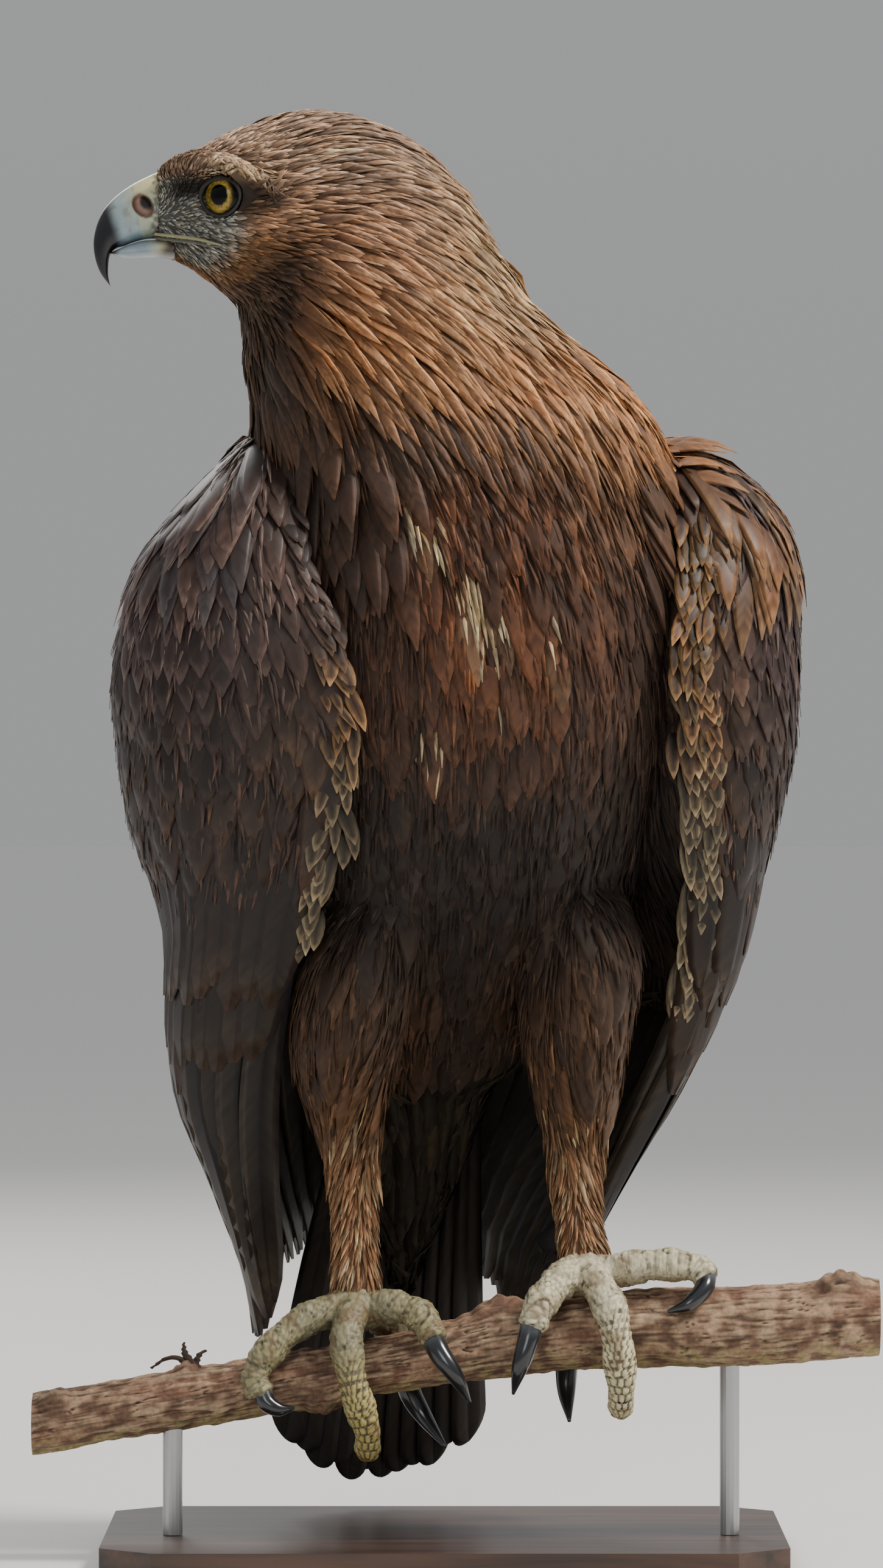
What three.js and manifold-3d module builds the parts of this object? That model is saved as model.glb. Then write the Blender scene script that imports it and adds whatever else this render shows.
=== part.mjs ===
// A golden eagle perched on a cut length of branch, life size, on a plain display stand.
// Millimetres, +Z up. The bird looks towards -Y with its body turned a little to +X,
// and its head is turned to its own right, so the bill points to -X.
import * as THREE from "three";
import { mergeVertices } from "three/addons/utils/BufferGeometryUtils.js";
import Module from "manifold-3d";

const wasm = await Module();
wasm.setup();

// Driving dimensions
const GAP = 0.35; // between pieces that meet face to face
const BODY_TURN = 14; // degrees that the body is turned from -Y towards +X
const BODY_X = -8; // the body's middle line, in the perch's frame
const HEAD_Y = -18; // the head's middle plane
const BASE = { x: -18, y: 28, length: 310, width: 226, height: 12, corner: 24 };
const ROD = { radius: 4.5, x: [-142, 112] };
const EYE = { x: -118.5, z: 621.5, side: 17.5, radius: 11.4 };
const LID = { ring: 8.7, tube: 1.7, forward: 0.42 };

// Level slices of the body: z, centre x, centre y, half width, half depth, turn in degrees.
const BODY_ROWS = [
  [212, -26, 73, 22, 12, BODY_TURN],
  [222, -25, 70, 38, 22, BODY_TURN],
  [238, -23, 63, 52, 33, BODY_TURN],
  [264, -20, 49, 69, 49, BODY_TURN],
  [300, -16, 31, 84, 66, BODY_TURN],
  [340, -12, 16, 94, 80, BODY_TURN],
  [385, -9, 4, 99, 90, BODY_TURN],
  [430, -8, -1, 100, 91, BODY_TURN],
  [470, -8, -3, 97, 85, BODY_TURN],
  [500, -9, -5, 94, 76, BODY_TURN],
  [524, -17, -8, 90, 66, 11],
  [545, -31, -11, 80, 58, 7],
  [560, -40, -13, 71, 53, 4],
  [575, -48, -15, 65, 49, 2],
  [592, -50, -17, 57, 44, 0],
  [608, -51, -18, 47, 39, 0],
  [624, -54, -18, 36, 33, 0],
  [638, -58, -18, 20, 20, 0],
  [644, -60, -18, 8, 8, 0],
];

// Upright slices of the head, from the bill back to the nape: x, middle z, half height, half width.
const HEAD_ROWS = [
  [-148, 613.2, 17.0, 12.5],
  [-146.5, 613.4, 19.6, 14.5],
  [-140, 614.7, 24.0, 18.5],
  [-132, 615, 28.0, 23.0],
  [-122, 614.5, 34.0, 28.0],
  [-110, 612.5, 41.5, 32.5],
  [-95, 612, 46.0, 35.5],
  [-78, 615, 45.5, 36.5],
  [-60, 617, 41.5, 36.0],
  [-42, 618, 33.5, 32.0],
  [-28, 619, 24.0, 24.5],
  [-17, 619.5, 13.0, 14.0],
];

// The cut between head and neck, and the one between neck and torso: normal, and a point on it.
const HEAD_CUT = { normal: [-0.406, 0, 0.914], point: [-116, 0, 568] };
const NECK_CUT = { normal: [-0.05, -0.05, 1], point: [-10, -5, 509] };

// The ridge over the eye: x, distance from the head's middle plane, z, radius.
const BROW_ROWS = [
  [-147, 9.5, 630.5, 3.0],
  [-138, 17.5, 635, 4.6],
  [-127, 25.5, 636.5, 5.4],
  [-115, 30.5, 634, 5.2],
  [-103, 33.2, 628, 4.0],
  [-96, 33.5, 623, 2.4],
];
// The lip from the bill to the corner of the mouth, and the groove under it.
const LIP_ROWS = [
  [-149, 10.8, 603.6, 1.5],
  [-140, 17.0, 602.2, 1.9],
  [-131, 22.4, 600.8, 1.9],
  [-124, 25.8, 599.0, 1.5],
];
const MOUTH_DROP = 2.6;
const MOUTH_RADIUS = 0.9;

// The upper bill: top edge x and z, lower edge x and z, half width.
const BILL_ROWS = [
  [-142, 634.0, -142, 602.4, 13.4],
  [-148, 632.4, -148, 602.3, 12.4],
  [-154, 629.8, -154, 601.9, 11.2],
  [-160, 626.6, -159.6, 600.4, 10.0],
  [-165.2, 623.0, -163.4, 598.9, 8.7],
  [-169.6, 619.0, -166.4, 598.0, 7.5],
  [-173.4, 614.0, -168.4, 596.8, 6.4],
  [-176.0, 607.8, -169.6, 595.0, 5.4],
  [-177.3, 600.6, -170.3, 592.6, 4.4],
  [-176.5, 593.2, -170.6, 589.4, 3.4],
  [-174.0, 586.4, -170.6, 585.4, 2.2],
  [-169.6, 580.6, -169.9, 581.6, 0.5],
];
// The lower bill in the same columns.
const JAW_ROWS = [
  [-140, 601.6, -140, 592.6, 13.0],
  [-148, 601.6, -148, 593.6, 11.6],
  [-155, 601.2, -155, 593.4, 10.0],
  [-161.5, 599.4, -161.5, 593.4, 8.0],
  [-166.5, 597.2, -166.5, 594.2, 5.6],
  [-169.4, 596.0, -169.4, 595.2, 2.0],
];
const CERE_CUT = { normal: [1, 0, 0.2], point: [-157.5, 0, 616] };
const NOSTRIL = { x: -153.2, z: 617.5, length: 3.6, height: 2.2, depth: 3.4, tilt: 38 };

// Each leg from the hip down to the foot: z, centre x, centre y, half width, half depth, turn.
const THIGH_ROWS = {
  right: [
    [186, -60.5, 12, 14.0, 15, 0],
    [198, -62, 9, 16.5, 19, 0],
    [216, -64, 4, 20.5, 26, 0],
    [240, -63, -3, 25.5, 34, 6],
    [268, -58, -6, 28.0, 39, 10],
    [296, -50, -2, 27.0, 37, 14],
    [316, -44, 2, 18.0, 24, 14],
  ],
  left: [
    [190, 42.0, 22, 14.5, 16, 0],
    [200, 42.2, 20, 16.5, 19, 0],
    [216, 42.2, 17, 20.0, 25, 4],
    [240, 41.8, 13, 24.0, 32, 8],
    [268, 44.0, 12, 27.0, 37, 12],
    [296, 40.0, 16, 27.0, 36, 14],
    [316, 34.0, 18, 18.0, 24, 14],
  ],
};
const SHANK_ROWS = {
  right: [
    [118, -58.5, 1, 12.5, 12, 0],
    [126, -58.5, 2, 13.4, 13, 0],
    [138, -58.7, 4, 12.4, 12.4, 0],
    [154, -59.0, 8, 12.2, 12.4, 0],
    [172, -59.8, 12, 12.8, 13.4, 0],
    [192, -61.0, 12, 14.0, 15, 0],
  ],
  left: [
    [131, 46.5, 1, 13.0, 12, 0],
    [139, 45.8, 4, 13.6, 13, 0],
    [150, 44.0, 10, 12.8, 12.6, 0],
    [164, 42.8, 17, 12.9, 12.8, 0],
    [180, 42.2, 22, 13.8, 14.4, 0],
    [196, 42.0, 22, 15.0, 16, 0],
  ],
};

// The perch: x, y, z of its middle line, radius.
const PERCH_ROWS = [
  [-206, 3, 62, 13.8],
  [-162, 0, 70, 13.8],
  [-119, -1, 77, 13.6],
  [-80, 0, 84, 13.4],
  [-42, 0, 90.5, 13.2],
  [4, 0, 99, 15.8],
  [40, 0, 104, 16.8],
  [75, 0, 106.5, 17.6],
  [121, 1, 107.5, 18.2],
  [180, 0, 111.5, 17.6],
];
// Knots on it: x, angle from the top towards -Y in degrees, length, width, height above the bark.
const KNOTS = [
  [-196, 40, 9, 9, 4],
  [-136, 8, 7, 6, 4],
  [-72, 150, 12, 9, 6],
  [6, 10, 14, 9, 6],
  [162, 25, 12, 10, 7],
];

// Toes and claws, as points from the middle of their foot: x, y, z, radius.
const FOOT = {
  right: {
    pad: { x: -58.5, y: -1, z: 115.5, half: [16, 13.5, 10.5] },
    toes: {
      outer: [[-3, -2, -1, 8.4], [-12, -7, -1, 8.4], [-25, -13, -6, 7.6], [-39, -19, -18, 7.4], [-45.5, -21, -30, 6.8], [-42, -22.5, -38, 6.2]],
      middle: [[0, -4, -1, 8.6], [-2, -12, -3, 8.6], [-4, -21, -14, 7.9], [-1, -24, -32, 7.4], [3, -22.5, -46, 7.2], [5.5, -20, -54, 6.6]],
      inner: [[3, -2, 0, 8.6], [11, -6, 1, 8.4], [21, -10.5, 1, 7.8], [31, -15.5, -4, 7.6], [36, -22, -13, 6.8]],
      hind: [[2, 3, -1, 8.6], [7, 13, -1, 8.8], [14, 22, -9, 8.2], [20, 26, -23, 7.6], [23, 23, -35, 6.8]],
    },
    claws: {
      outer: [[-42.5, -21.5, -35, 4.6], [-40, -24, -41, 4.3], [-34.5, -25, -44, 3.2], [-27.5, -22.5, -43.5, 0.7]],
      middle: [[5, -21, -51, 4.8], [6, -17, -59, 4.5], [6, -7, -63.5, 3.4], [5.5, 6, -60, 0.7]],
      inner: [[34.5, -19, -11, 5.2], [38.5, -25, -19, 5.0], [45.5, -27.5, -29, 3.8], [52, -23, -41, 0.7]],
      hind: [[22.5, 24, -32, 5.4], [25, 22.5, -41, 5.2], [31, 20, -51, 4.0], [41, 9, -64, 0.8]],
    },
  },
  left: {
    pad: { x: 46.5, y: -1, z: 131, half: [16.5, 14, 10.5] },
    toes: {
      outer: [[3, -2, 0, 8.8], [12, -5, 1.5, 8.8], [24, -7, 4, 8.0], [38, -8.5, 5, 7.8], [50, -10.5, 3.5, 7.2], [55.5, -14, -1.5, 6.4]],
      middle: [[1, -4, -1, 8.8], [4, -13, -3, 8.8], [10, -23, -13, 8.2], [13.5, -27.5, -28, 7.8], [15, -26, -42, 7.4], [15.5, -23, -50, 6.8]],
      inner: [[-3, -2, 0, 8.8], [-9, -9, -1, 8.8], [-16, -18, -6, 8.2], [-22, -25, -14, 7.8], [-25, -28, -23, 6.8]],
      hind: [[-1, 3, -1, 8.8], [-3, 13, -1, 9.0], [-5, 24, -9, 8.4], [-7, 29, -24, 7.8], [-8, 26, -38, 6.8]],
    },
    claws: {
      outer: [[54.5, -12.5, 0, 4.6], [53, -18.5, -5.5, 4.4], [46, -23, -12, 3.3], [36.5, -22.5, -15.5, 0.7]],
      middle: [[15, -24, -47, 4.8], [16, -19.5, -57, 4.5], [16, -9, -62, 3.4], [16, 5, -58, 0.7]],
      inner: [[-25, -27, -21, 5.2], [-27, -30, -29, 5.0], [-30.5, -31.5, -40, 3.8], [-33.5, -27, -52.5, 0.7]],
      hind: [[-8, 26.5, -35, 5.4], [-8.5, 25.5, -44, 5.2], [-8.5, 22, -56, 4.0], [-7.4, 12, -68, 0.8]],
    },
  },
};
const SCUTES = { count: 4, rise: 0.09 };

// A folded wing in level slices, in the body's own frame: height, front edge out and back,
// rear edge out and back, furthest reach outwards, and what the left wing adds to the
// front edge and to the reach.
const WING_ROWS = [
  [92, 62, 104, 38, 158, 70, -6, -14],
  [130, 76, 66, 28, 153, 84, -8, -16],
  [170, 84, 42, 24, 145, 102, -4, -18],
  [210, 88, 22, 20, 136, 121, 4, -15],
  [250, 88, 0, 18, 128, 128, 14, -8],
  [290, 86, -24, 18, 121, 132, 18, -2],
  [330, 80, -50, 20, 115, 150, 20, -13],
  [370, 80, -66, 24, 109, 159, 13, -14],
  [410, 85, -70, 30, 104, 162, 6, -15],
  [450, 94, -62, 38, 96, 151, 2, -3],
  [480, 96, -46, 46, 84, 130, 0, 10],
  [500, 94, -22, 54, 66, 113, 0, 12],
  [514, 92, 2, 62, 42, 100, 0, 8],
];
const WING_TOP = WING_ROWS[WING_ROWS.length - 1][0];
// How thick the folded flight feathers are under that surface: height, thickness mid slice.
const WING_DEPTH = [
  [92, 4], [210, 5], [250, 8], [300, 12], [514, 12],
];
const WING_EDGE = 4.5;
const ARM_FILL = { from: 262, to: 350 }; // heights over which the arm thickens inwards to the body
const ARM_FOOT = 290; // the folded arm ends here and the flight feathers' own node begins
const FLIGHT_CORE = 196; // the solid root of the flight feathers ends here

// Tiers of wing feathers, from the shoulder down: height of the roots and of the tips, how many,
// first and last place across, half width across, stand-off of the tips.
const COVERT_TIERS = [
  [488, 430, 4, 0.17, 0.85, 0.108, 5.4],
  [452, 386, 5, 0.08, 0.92, 0.100, 5.8],
  [408, 340, 5, 0.15, 0.87, 0.086, 6.2],
  [366, 300, 6, 0.07, 0.93, 0.082, 6.4],
  [332, 256, 6, 0.14, 0.92, 0.074, 8.0],
];
const FLIGHT = { root: 284, count: 10, first: 0.06, last: 0.95, half: 0.068, stand: 2.0 };
// Where the flight feathers' tips reach, from the front edge to the rear one: place, height.
const FLIGHT_TIPS = [
  [0, 118], [0.15, 100], [0.35, 98], [0.5, 108], [0.65, 120], [0.85, 134], [1, 148],
];
// Edge coverts over the wrist: height of the root, length, half width across.
const EDGE_COVERTS = { from: 456, to: 316, count: 5, length: 46, half: 0.04, across: 0.03, stand: 6.6 };
const LOUVRE = 1.15; // each wing feather's one edge stands higher than its other, so they overlap
const VANE = { thick: 1.0, tip: 0.55, sunk: -3.2 };

// Outlines of the vanes: place along the vane, share of its full width.
const COVERT_SHAPE = [[0, 0.5], [0.6, 1], [1, 0.4]];
const FLIGHT_SHAPE = [[0, 0.6], [0.15, 0.9], [0.5, 1], [0.86, 0.75], [1, 0.25]];
const TAIL_SHAPE = [[0, 0.6], [0.3, 0.9], [0.62, 1], [0.9, 0.85], [1, 0.35]];
const LOCK_SHAPE = [[0, 0.75], [0.55, 0.95], [1, 0.12]];

// Hackles in rows from the head down: height of the roots, length, how many, and the arc that
// they fill, in degrees from the back of the neck.
const HACKLE_ROWS = [
  [590, 40, 7, 118],
  [572, 40, 8, 158],
  [555, 36, 8, 160],
  [540, 24, 8, 160],
];
const HACKLE = { half: 13.5, stand: 4.8, thick: 1.3 };

// The tail: length is measured along its middle feathers, in the body's own frame.
const TAIL = {
  rootV: 78, rootW: 262, tipV: 146, tipW: 24, bow: 10, sway: -9,
  rootHalf: 22, tipHalf: 44, feathers: 12, layer: 1.5, shorter: 20, root: 0.1, half: 0.19,
};
const TAIL_CORE = [
  [150, -2, 104, 15, 5, 0],
  [176, -2, 97, 24, 9, 0],
  [204, -1, 88, 31, 15, 0],
  [232, 0, 80, 37, 20, 0],
  [256, 0, 72, 41, 24, 0],
];

const COLOURS = {
  darkBrown: 0x2b1a12,
  brown: 0x4a2c1c,
  tawny: 0xa0683c,
  rufous: 0x7a4526,
  horn: 0x1b1e24,
  blueHorn: 0x8da0a6,
  cere: 0xcfc48c,
  iris: 0xa8852c,
  scale: 0xb9ac72,
  bark: 0x7d6048,
  baseWood: 0x2f2a27,
  steel: 0x8d9196,
};

const radians = THREE.MathUtils.degToRad;
const V = (x, y, z) => new THREE.Vector3(x, y, z);

// The columns of a table at one key, on a smooth curve through its rows. The key is column 0.
function tableAt(rows, key) {
  const last = rows.length - 1;
  const k = Math.min(Math.max(key, rows[0][0]), rows[last][0]);
  let i = 0;
  while (i < last - 1 && k > rows[i + 1][0]) i += 1;
  const span = rows[i + 1][0] - rows[i][0];
  const s = (k - rows[i][0]) / span;
  const slope = (j, c) => {
    const a = Math.max(j - 1, 0);
    const b = Math.min(j + 1, last);
    return (rows[b][c] - rows[a][c]) / (rows[b][0] - rows[a][0]);
  };
  return rows[i].map((from, c) => {
    const to = rows[i + 1][c];
    return (
      (1 + 2 * s) * (1 - s) ** 2 * from +
      s * (1 - s) ** 2 * span * slope(i, c) +
      s * s * (3 - 2 * s) * to +
      s * s * (s - 1) * span * slope(i + 1, c)
    );
  });
}

// A geometry from points and triangles, turned so that its faces point out.
function closed(points, triangles) {
  let volume = 0;
  for (const [a, b, c] of triangles)
    volume += points[a].dot(points[b].clone().cross(points[c]));
  const index = triangles.flatMap(([a, b, c]) => (volume < 0 ? [a, c, b] : [a, b, c]));
  return new THREE.BufferGeometry()
    .setAttribute("position", new THREE.Float32BufferAttribute(points.flatMap((p) => [p.x, p.y, p.z]), 3))
    .setIndex(index);
}

// A body through rings of equally many points, with a fan over each end.
function ringBody(rings) {
  const sides = rings[0].length;
  const points = rings.flat();
  const triangles = [];
  for (let r = 0; r + 1 < rings.length; r += 1)
    for (let s = 0; s < sides; s += 1) {
      const a = r * sides + s;
      const b = r * sides + ((s + 1) % sides);
      triangles.push([a, b, b + sides], [a, b + sides, a + sides]);
    }
  for (const [ring, first, flip] of [
    [rings[0], 0, true],
    [rings[rings.length - 1], (rings.length - 1) * sides, false],
  ]) {
    const middle = ring.reduce((sum, p) => sum.add(p), V(0, 0, 0)).divideScalar(sides);
    points.push(middle);
    for (let s = 0; s < sides; s += 1) {
      const a = first + s;
      const b = first + ((s + 1) % sides);
      triangles.push(flip ? [b, a, points.length - 1] : [a, b, points.length - 1]);
    }
  }
  return closed(points, triangles);
}

// A thin body between two faces, each a grid of rows and columns, split alike on both faces.
function sheetBody(faceAt, rows, columns) {
  const points = [];
  for (const face of [1, -1])
    for (const q of rows) for (const c of columns) points.push(faceAt(q, c, face));
  const wide = columns.length;
  const under = rows.length * wide;
  const triangles = [];
  const quad = (a, b, c, d) => triangles.push([a, b, c], [a, c, d]);
  for (let r = 0; r + 1 < rows.length; r += 1)
    for (let c = 0; c + 1 < wide; c += 1) {
      const a = r * wide + c;
      quad(a, a + 1, a + wide + 1, a + wide);
      triangles.push([under + a, under + a + wide + 1, under + a + 1]);
      triangles.push([under + a, under + a + wide, under + a + wide + 1]);
    }
  for (let r = 0; r + 1 < rows.length; r += 1)
    for (const [c, turn] of [[0, false], [wide - 1, true]]) {
      const a = r * wide + c;
      const b = a + wide;
      if (turn) quad(a, a + under, b + under, b);
      else quad(b, b + under, a + under, a);
    }
  for (let c = 0; c + 1 < wide; c += 1)
    for (const [r, turn] of [[0, false], [rows.length - 1, true]]) {
      const a = r * wide + c;
      if (turn) triangles.push([a, a + 1 + under, a + under], [a, a + 1, a + 1 + under]);
      else triangles.push([a, a + under, a + 1 + under], [a, a + 1 + under, a + 1]);
    }
  return closed(points, triangles);
}

const steps = (from, to, count) =>
  Array.from({ length: count + 1 }, (_, i) => from + ((to - from) * i) / count);

// One level slice: a turned ellipse.
function levelRing([z, x, y, a, b, turn], sides) {
  return steps(0, 2 * Math.PI, sides).slice(0, sides).map((angle) =>
    V(a * Math.cos(angle), b * Math.sin(angle), 0)
      .applyAxisAngle(V(0, 0, 1), radians(turn))
      .add(V(x, y, z)));
}

function levelLoft(rows, sides, count) {
  const levels = steps(rows[0][0], rows[rows.length - 1][0], count);
  return ringBody(levels.map((z) => levelRing(tableAt(rows, z), sides)));
}

// A round tube through rows of x, y, z, radius, with profile(t) scaling its radius along it.
function tube(rows, sides, count, profile = () => 1) {
  const path = new THREE.CatmullRomCurve3(rows.map(([x, y, z]) => V(x, y, z)));
  const radii = new THREE.CatmullRomCurve3(rows.map((r) => V(r[3], 0, 0)));
  const stations = Array.isArray(count) ? count : steps(0, 1, count);
  let side = null;
  return ringBody(stations.map((t) => {
    const along = path.getTangent(t);
    side = side ?? (Math.abs(along.z) < 0.9 ? V(0, 0, 1) : V(0, 1, 0));
    side = side.clone().addScaledVector(along, -side.dot(along)).normalize();
    const up = along.clone().cross(side);
    const radius = radii.getPoint(t).x * profile(t);
    return steps(0, 2 * Math.PI, sides).slice(0, sides).map((angle) =>
      path.getPoint(t)
        .addScaledVector(side, radius * Math.cos(angle))
        .addScaledVector(up, radius * Math.sin(angle)));
  }));
}

function solid(geometry) {
  const bare = geometry.clone();
  bare.deleteAttribute("normal");
  bare.deleteAttribute("uv");
  const merged = mergeVertices(bare, 1e-4);
  return new wasm.Manifold(new wasm.Mesh({
    numProp: 3,
    vertProperties: new Float32Array(merged.attributes.position.array),
    triVerts: new Uint32Array(merged.index.array),
  }));
}

// The same closed shape grown outwards by a distance, to cut a neighbour clear of it.
function grown(geometry, distance) {
  const bare = geometry.clone();
  bare.deleteAttribute("normal");
  bare.deleteAttribute("uv");
  const merged = mergeVertices(bare, 1e-4);
  merged.computeVertexNormals();
  const at = merged.attributes.position;
  const normal = merged.attributes.normal;
  for (let i = 0; i < at.count; i += 1)
    at.setXYZ(
      i,
      at.getX(i) + normal.getX(i) * distance,
      at.getY(i) + normal.getY(i) * distance,
      at.getZ(i) + normal.getZ(i) * distance,
    );
  return solid(merged);
}

const joined = (geometries) => wasm.Manifold.union(geometries.map(solid));

// The largest closed surface of a solid, which drops scraps and fills sealed hollows.
function largest(shape) {
  return shape.decompose().reduce((a, b) => (b.volume() > a.volume() ? b : a));
}

function planeCut({ normal, point }) {
  const n = V(...normal).normalize();
  return { normal: n.toArray(), offset: n.dot(V(...point)) };
}

// The parts of a shape above and below a plane, with the gap between them.
function parted(shape, cut) {
  const { normal, offset } = planeCut(cut);
  return {
    above: shape.trimByPlane(normal, offset + GAP / 2),
    below: shape.trimByPlane(normal.map((c) => -c), -offset + GAP / 2),
  };
}

// A point of the body's own frame: out to one side, back, and up.
function fromBody(side, out, back, up) {
  return V(side * out, back, up).applyAxisAngle(V(0, 0, 1), radians(BODY_TURN)).add(V(BODY_X, 0, 0));
}

function headRing([x, z, high, wide], sides) {
  const squareness = 0.92;
  const pull = (v) => Math.sign(v) * Math.abs(v) ** squareness;
  return steps(0, 2 * Math.PI, sides).slice(0, sides).map((angle) =>
    V(x, HEAD_Y + wide * pull(Math.sin(angle)), z + high * pull(Math.cos(angle))));
}

// Places on a closed shape, seen from its own upright middle line: height, turn from +X in
// degrees, and stand-off.
function coatOf(shape, axisRows) {
  const mesh = shape.getMesh();
  const corner = (i) => V(...mesh.vertProperties.slice(i * mesh.numProp, i * mesh.numProp + 3));
  const faces = [];
  for (let i = 0; i < mesh.triVerts.length; i += 3)
    faces.push([0, 1, 2].map((c) => corner(mesh.triVerts[i + c])));
  const hit = (height, turn) => {
    const [, x, y] = tableAt(axisRows, height);
    const out = V(Math.cos(radians(turn)), Math.sin(radians(turn)), 0);
    const ray = new THREE.Ray(V(x, y, height), out);
    let far = 0;
    for (const [a, b, c] of faces) {
      const at = ray.intersectTriangle(a, b, c, false, V(0, 0, 0));
      if (at) far = Math.max(far, at.distanceTo(ray.origin));
    }
    return ray.at(far, V(0, 0, 0));
  };
  return (height, turn, lift) => {
    const round = hit(height, turn + 4).sub(hit(height, turn - 4));
    const climb = hit(height + 3, turn).sub(hit(height - 3, turn));
    return hit(height, turn).addScaledVector(round.cross(climb).normalize(), lift);
  };
}

// Hackles of one row, spread to both sides of the nape. tail says where that is, in degrees.
function hackleRow(coat, [height, length, count, arc], row) {
  return spread(-arc, arc, count, 0.08, row).map((turn) => {
    const nape = 12 + turn + (row % 2 ? 0.5 : 0) * ((2 * arc) / count);
    const reach = coat(height, nape, 0).distanceTo(coat(height, nape + 10, 0)) / 10;
    return vane(coat, {
      root: [height, nape], tip: [height - length, nape], half: HACKLE.half / reach,
      stand: HACKLE.stand, thick: HACKLE.thick, shape: LOCK_SHAPE,
    });
  });
}

// Mirrored pieces of the head: rows of x, distance from the middle plane, z, radius.
const headTubes = (rows, sides, count, drop = 0, radius = null) =>
  [-1, 1].map((side) =>
    tube(rows.map(([x, out, z, r]) => [x, HEAD_Y + side * out, z - drop, radius ?? r]), sides, count));

function eyeBall(side) {
  return new THREE.SphereGeometry(EYE.radius, 12, 8)
    .rotateX(Math.PI / 2)
    .translate(EYE.x, HEAD_Y + side * EYE.side, EYE.z);
}

function lidRing(side) {
  const look = V(-LID.forward, side, -0.02).normalize();
  const reach = Math.sqrt(EYE.radius ** 2 - LID.ring ** 2) + 0.6;
  return new THREE.TorusGeometry(LID.ring, LID.tube, 4, 12)
    .applyQuaternion(new THREE.Quaternion().setFromUnitVectors(V(0, 0, 1), look))
    .translate(EYE.x + look.x * reach, HEAD_Y + side * EYE.side + look.y * reach, EYE.z + look.z * reach);
}

// The bill's slices are egg shaped, narrow at the top edge.
function billBody(rows, sides, narrow) {
  return ringBody(rows.map(([topX, topZ, lowX, lowZ, wide]) =>
    steps(0, 2 * Math.PI, sides).slice(0, sides).map((angle) => {
      const up = (1 + Math.cos(angle)) / 2;
      return V(
        lowX + (topX - lowX) * up,
        HEAD_Y + wide * Math.sin(angle) * (1 - narrow * up),
        lowZ + (topZ - lowZ) * up,
      );
    })));
}

function nostril(side) {
  return new THREE.SphereGeometry(1, 8, 6)
    .scale(NOSTRIL.length, NOSTRIL.depth, NOSTRIL.height)
    .rotateY(radians(NOSTRIL.tilt))
    .translate(NOSTRIL.x, HEAD_Y + side * 11.5, NOSTRIL.z);
}

// A point on a wing's outer surface. along is the height, across runs from the front edge to
// the rear one, and lift stands off the surface.
function wingPoint(side, along, across) {
  const [, frontOut, frontBack, rearOut, rearBack, reach, leftFront, leftReach] = tableAt(WING_ROWS, along);
  const left = side > 0 ? 1 : 0;
  const front = frontOut + left * leftFront;
  const bulge = Math.min(...steps(0.1, 0.9, 8).map((s) =>
    (reach + left * leftReach - THREE.MathUtils.lerp(front, rearOut, s * s * (3 - 2 * s))) / (3 * s * (1 - s))));
  const t = across;
  const near = (1 - t) ** 3;
  const rise = 3 * t * (1 - t) ** 2;
  const fall = 3 * t * t * (1 - t);
  const far = t ** 3;
  const out = near * front + rise * (front + bulge) + fall * (rearOut + bulge) + far * rearOut;
  const back = (near + rise) * frontBack + (fall + far) * rearBack;
  return fromBody(side, out, back, along);
}

function wingSurface(side, along, across, lift) {
  const step = 0.01;
  const t = Math.min(Math.max(across, step), 1 - step);
  const reach = wingPoint(side, along, t + step).sub(wingPoint(side, along, t - step));
  const climb = wingPoint(side, along + 1, t).sub(wingPoint(side, along - 1, t));
  const out = reach.clone().cross(climb).normalize().multiplyScalar(side < 0 ? -1 : 1);
  const beyond = wingPoint(side, along, t).addScaledVector(reach, (across - t) / (2 * step));
  return beyond.addScaledVector(out, lift);
}

// The inner face of the folded wing: thin behind the flight feathers, and higher up filled in
// towards the body.
function wingInner(side, along, across) {
  const swell = Math.sin(Math.PI * across) ** 0.7;
  const thick = WING_EDGE + (tableAt(WING_DEPTH, along)[1] - WING_EDGE) * swell;
  const thin = wingSurface(side, along, across, -Math.max(thick, WING_EDGE));
  const share = THREE.MathUtils.smoothstep(along, ARM_FILL.from, ARM_FILL.to);
  const front = wingSurface(side, along, 0, -WING_EDGE);
  const rear = wingSurface(side, along, 1, -WING_EDGE);
  const middle = fromBody(side, 45, 5, along);
  const chord = front.lerp(rear, across).lerp(middle, 0.55 * Math.sin(Math.PI * across));
  return thin.lerp(chord, share);
}

function wingCore(side, lowest, highest, levels) {
  return sheetBody(
    (along, across, face) =>
      (face > 0 ? wingSurface(side, along, across, 0) : wingInner(side, along, across)),
    steps(lowest, highest, levels),
    steps(0, 1, 6),
  );
}

// One feather over a surface. root and tip are places on it, along and across.
function vane(surface, { root, tip, half, shape, stand, tilt = 0, quick = 0.8, thick = VANE.thick }) {
  return sheetBody(
    ([s, wide], c, face) => {
      const along = root[0] + (tip[0] - root[0]) * s;
      const across = root[1] + (tip[1] - root[1]) * s + c * half * wide;
      const rise = VANE.sunk + (stand - VANE.sunk) * Math.min(1, s / quick) ** 0.8;
      const body = (thick + (VANE.tip - thick) * s) / 2;
      return surface(along, across, rise + tilt * c * wide + face * body);
    },
    shape,
    [-1, 1],
  );
}

// Evenly spread places, with a small seeded shift so that the rows don't look machined.
function spread(first, last, count, shift, seed) {
  const step = (last - first) / Math.max(count - 1, 1);
  return Array.from({ length: count }, (_, i) =>
    first + i * step + shift * step * Math.sin(12.9898 * (i + 1) + 78.233 * seed));
}

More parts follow.
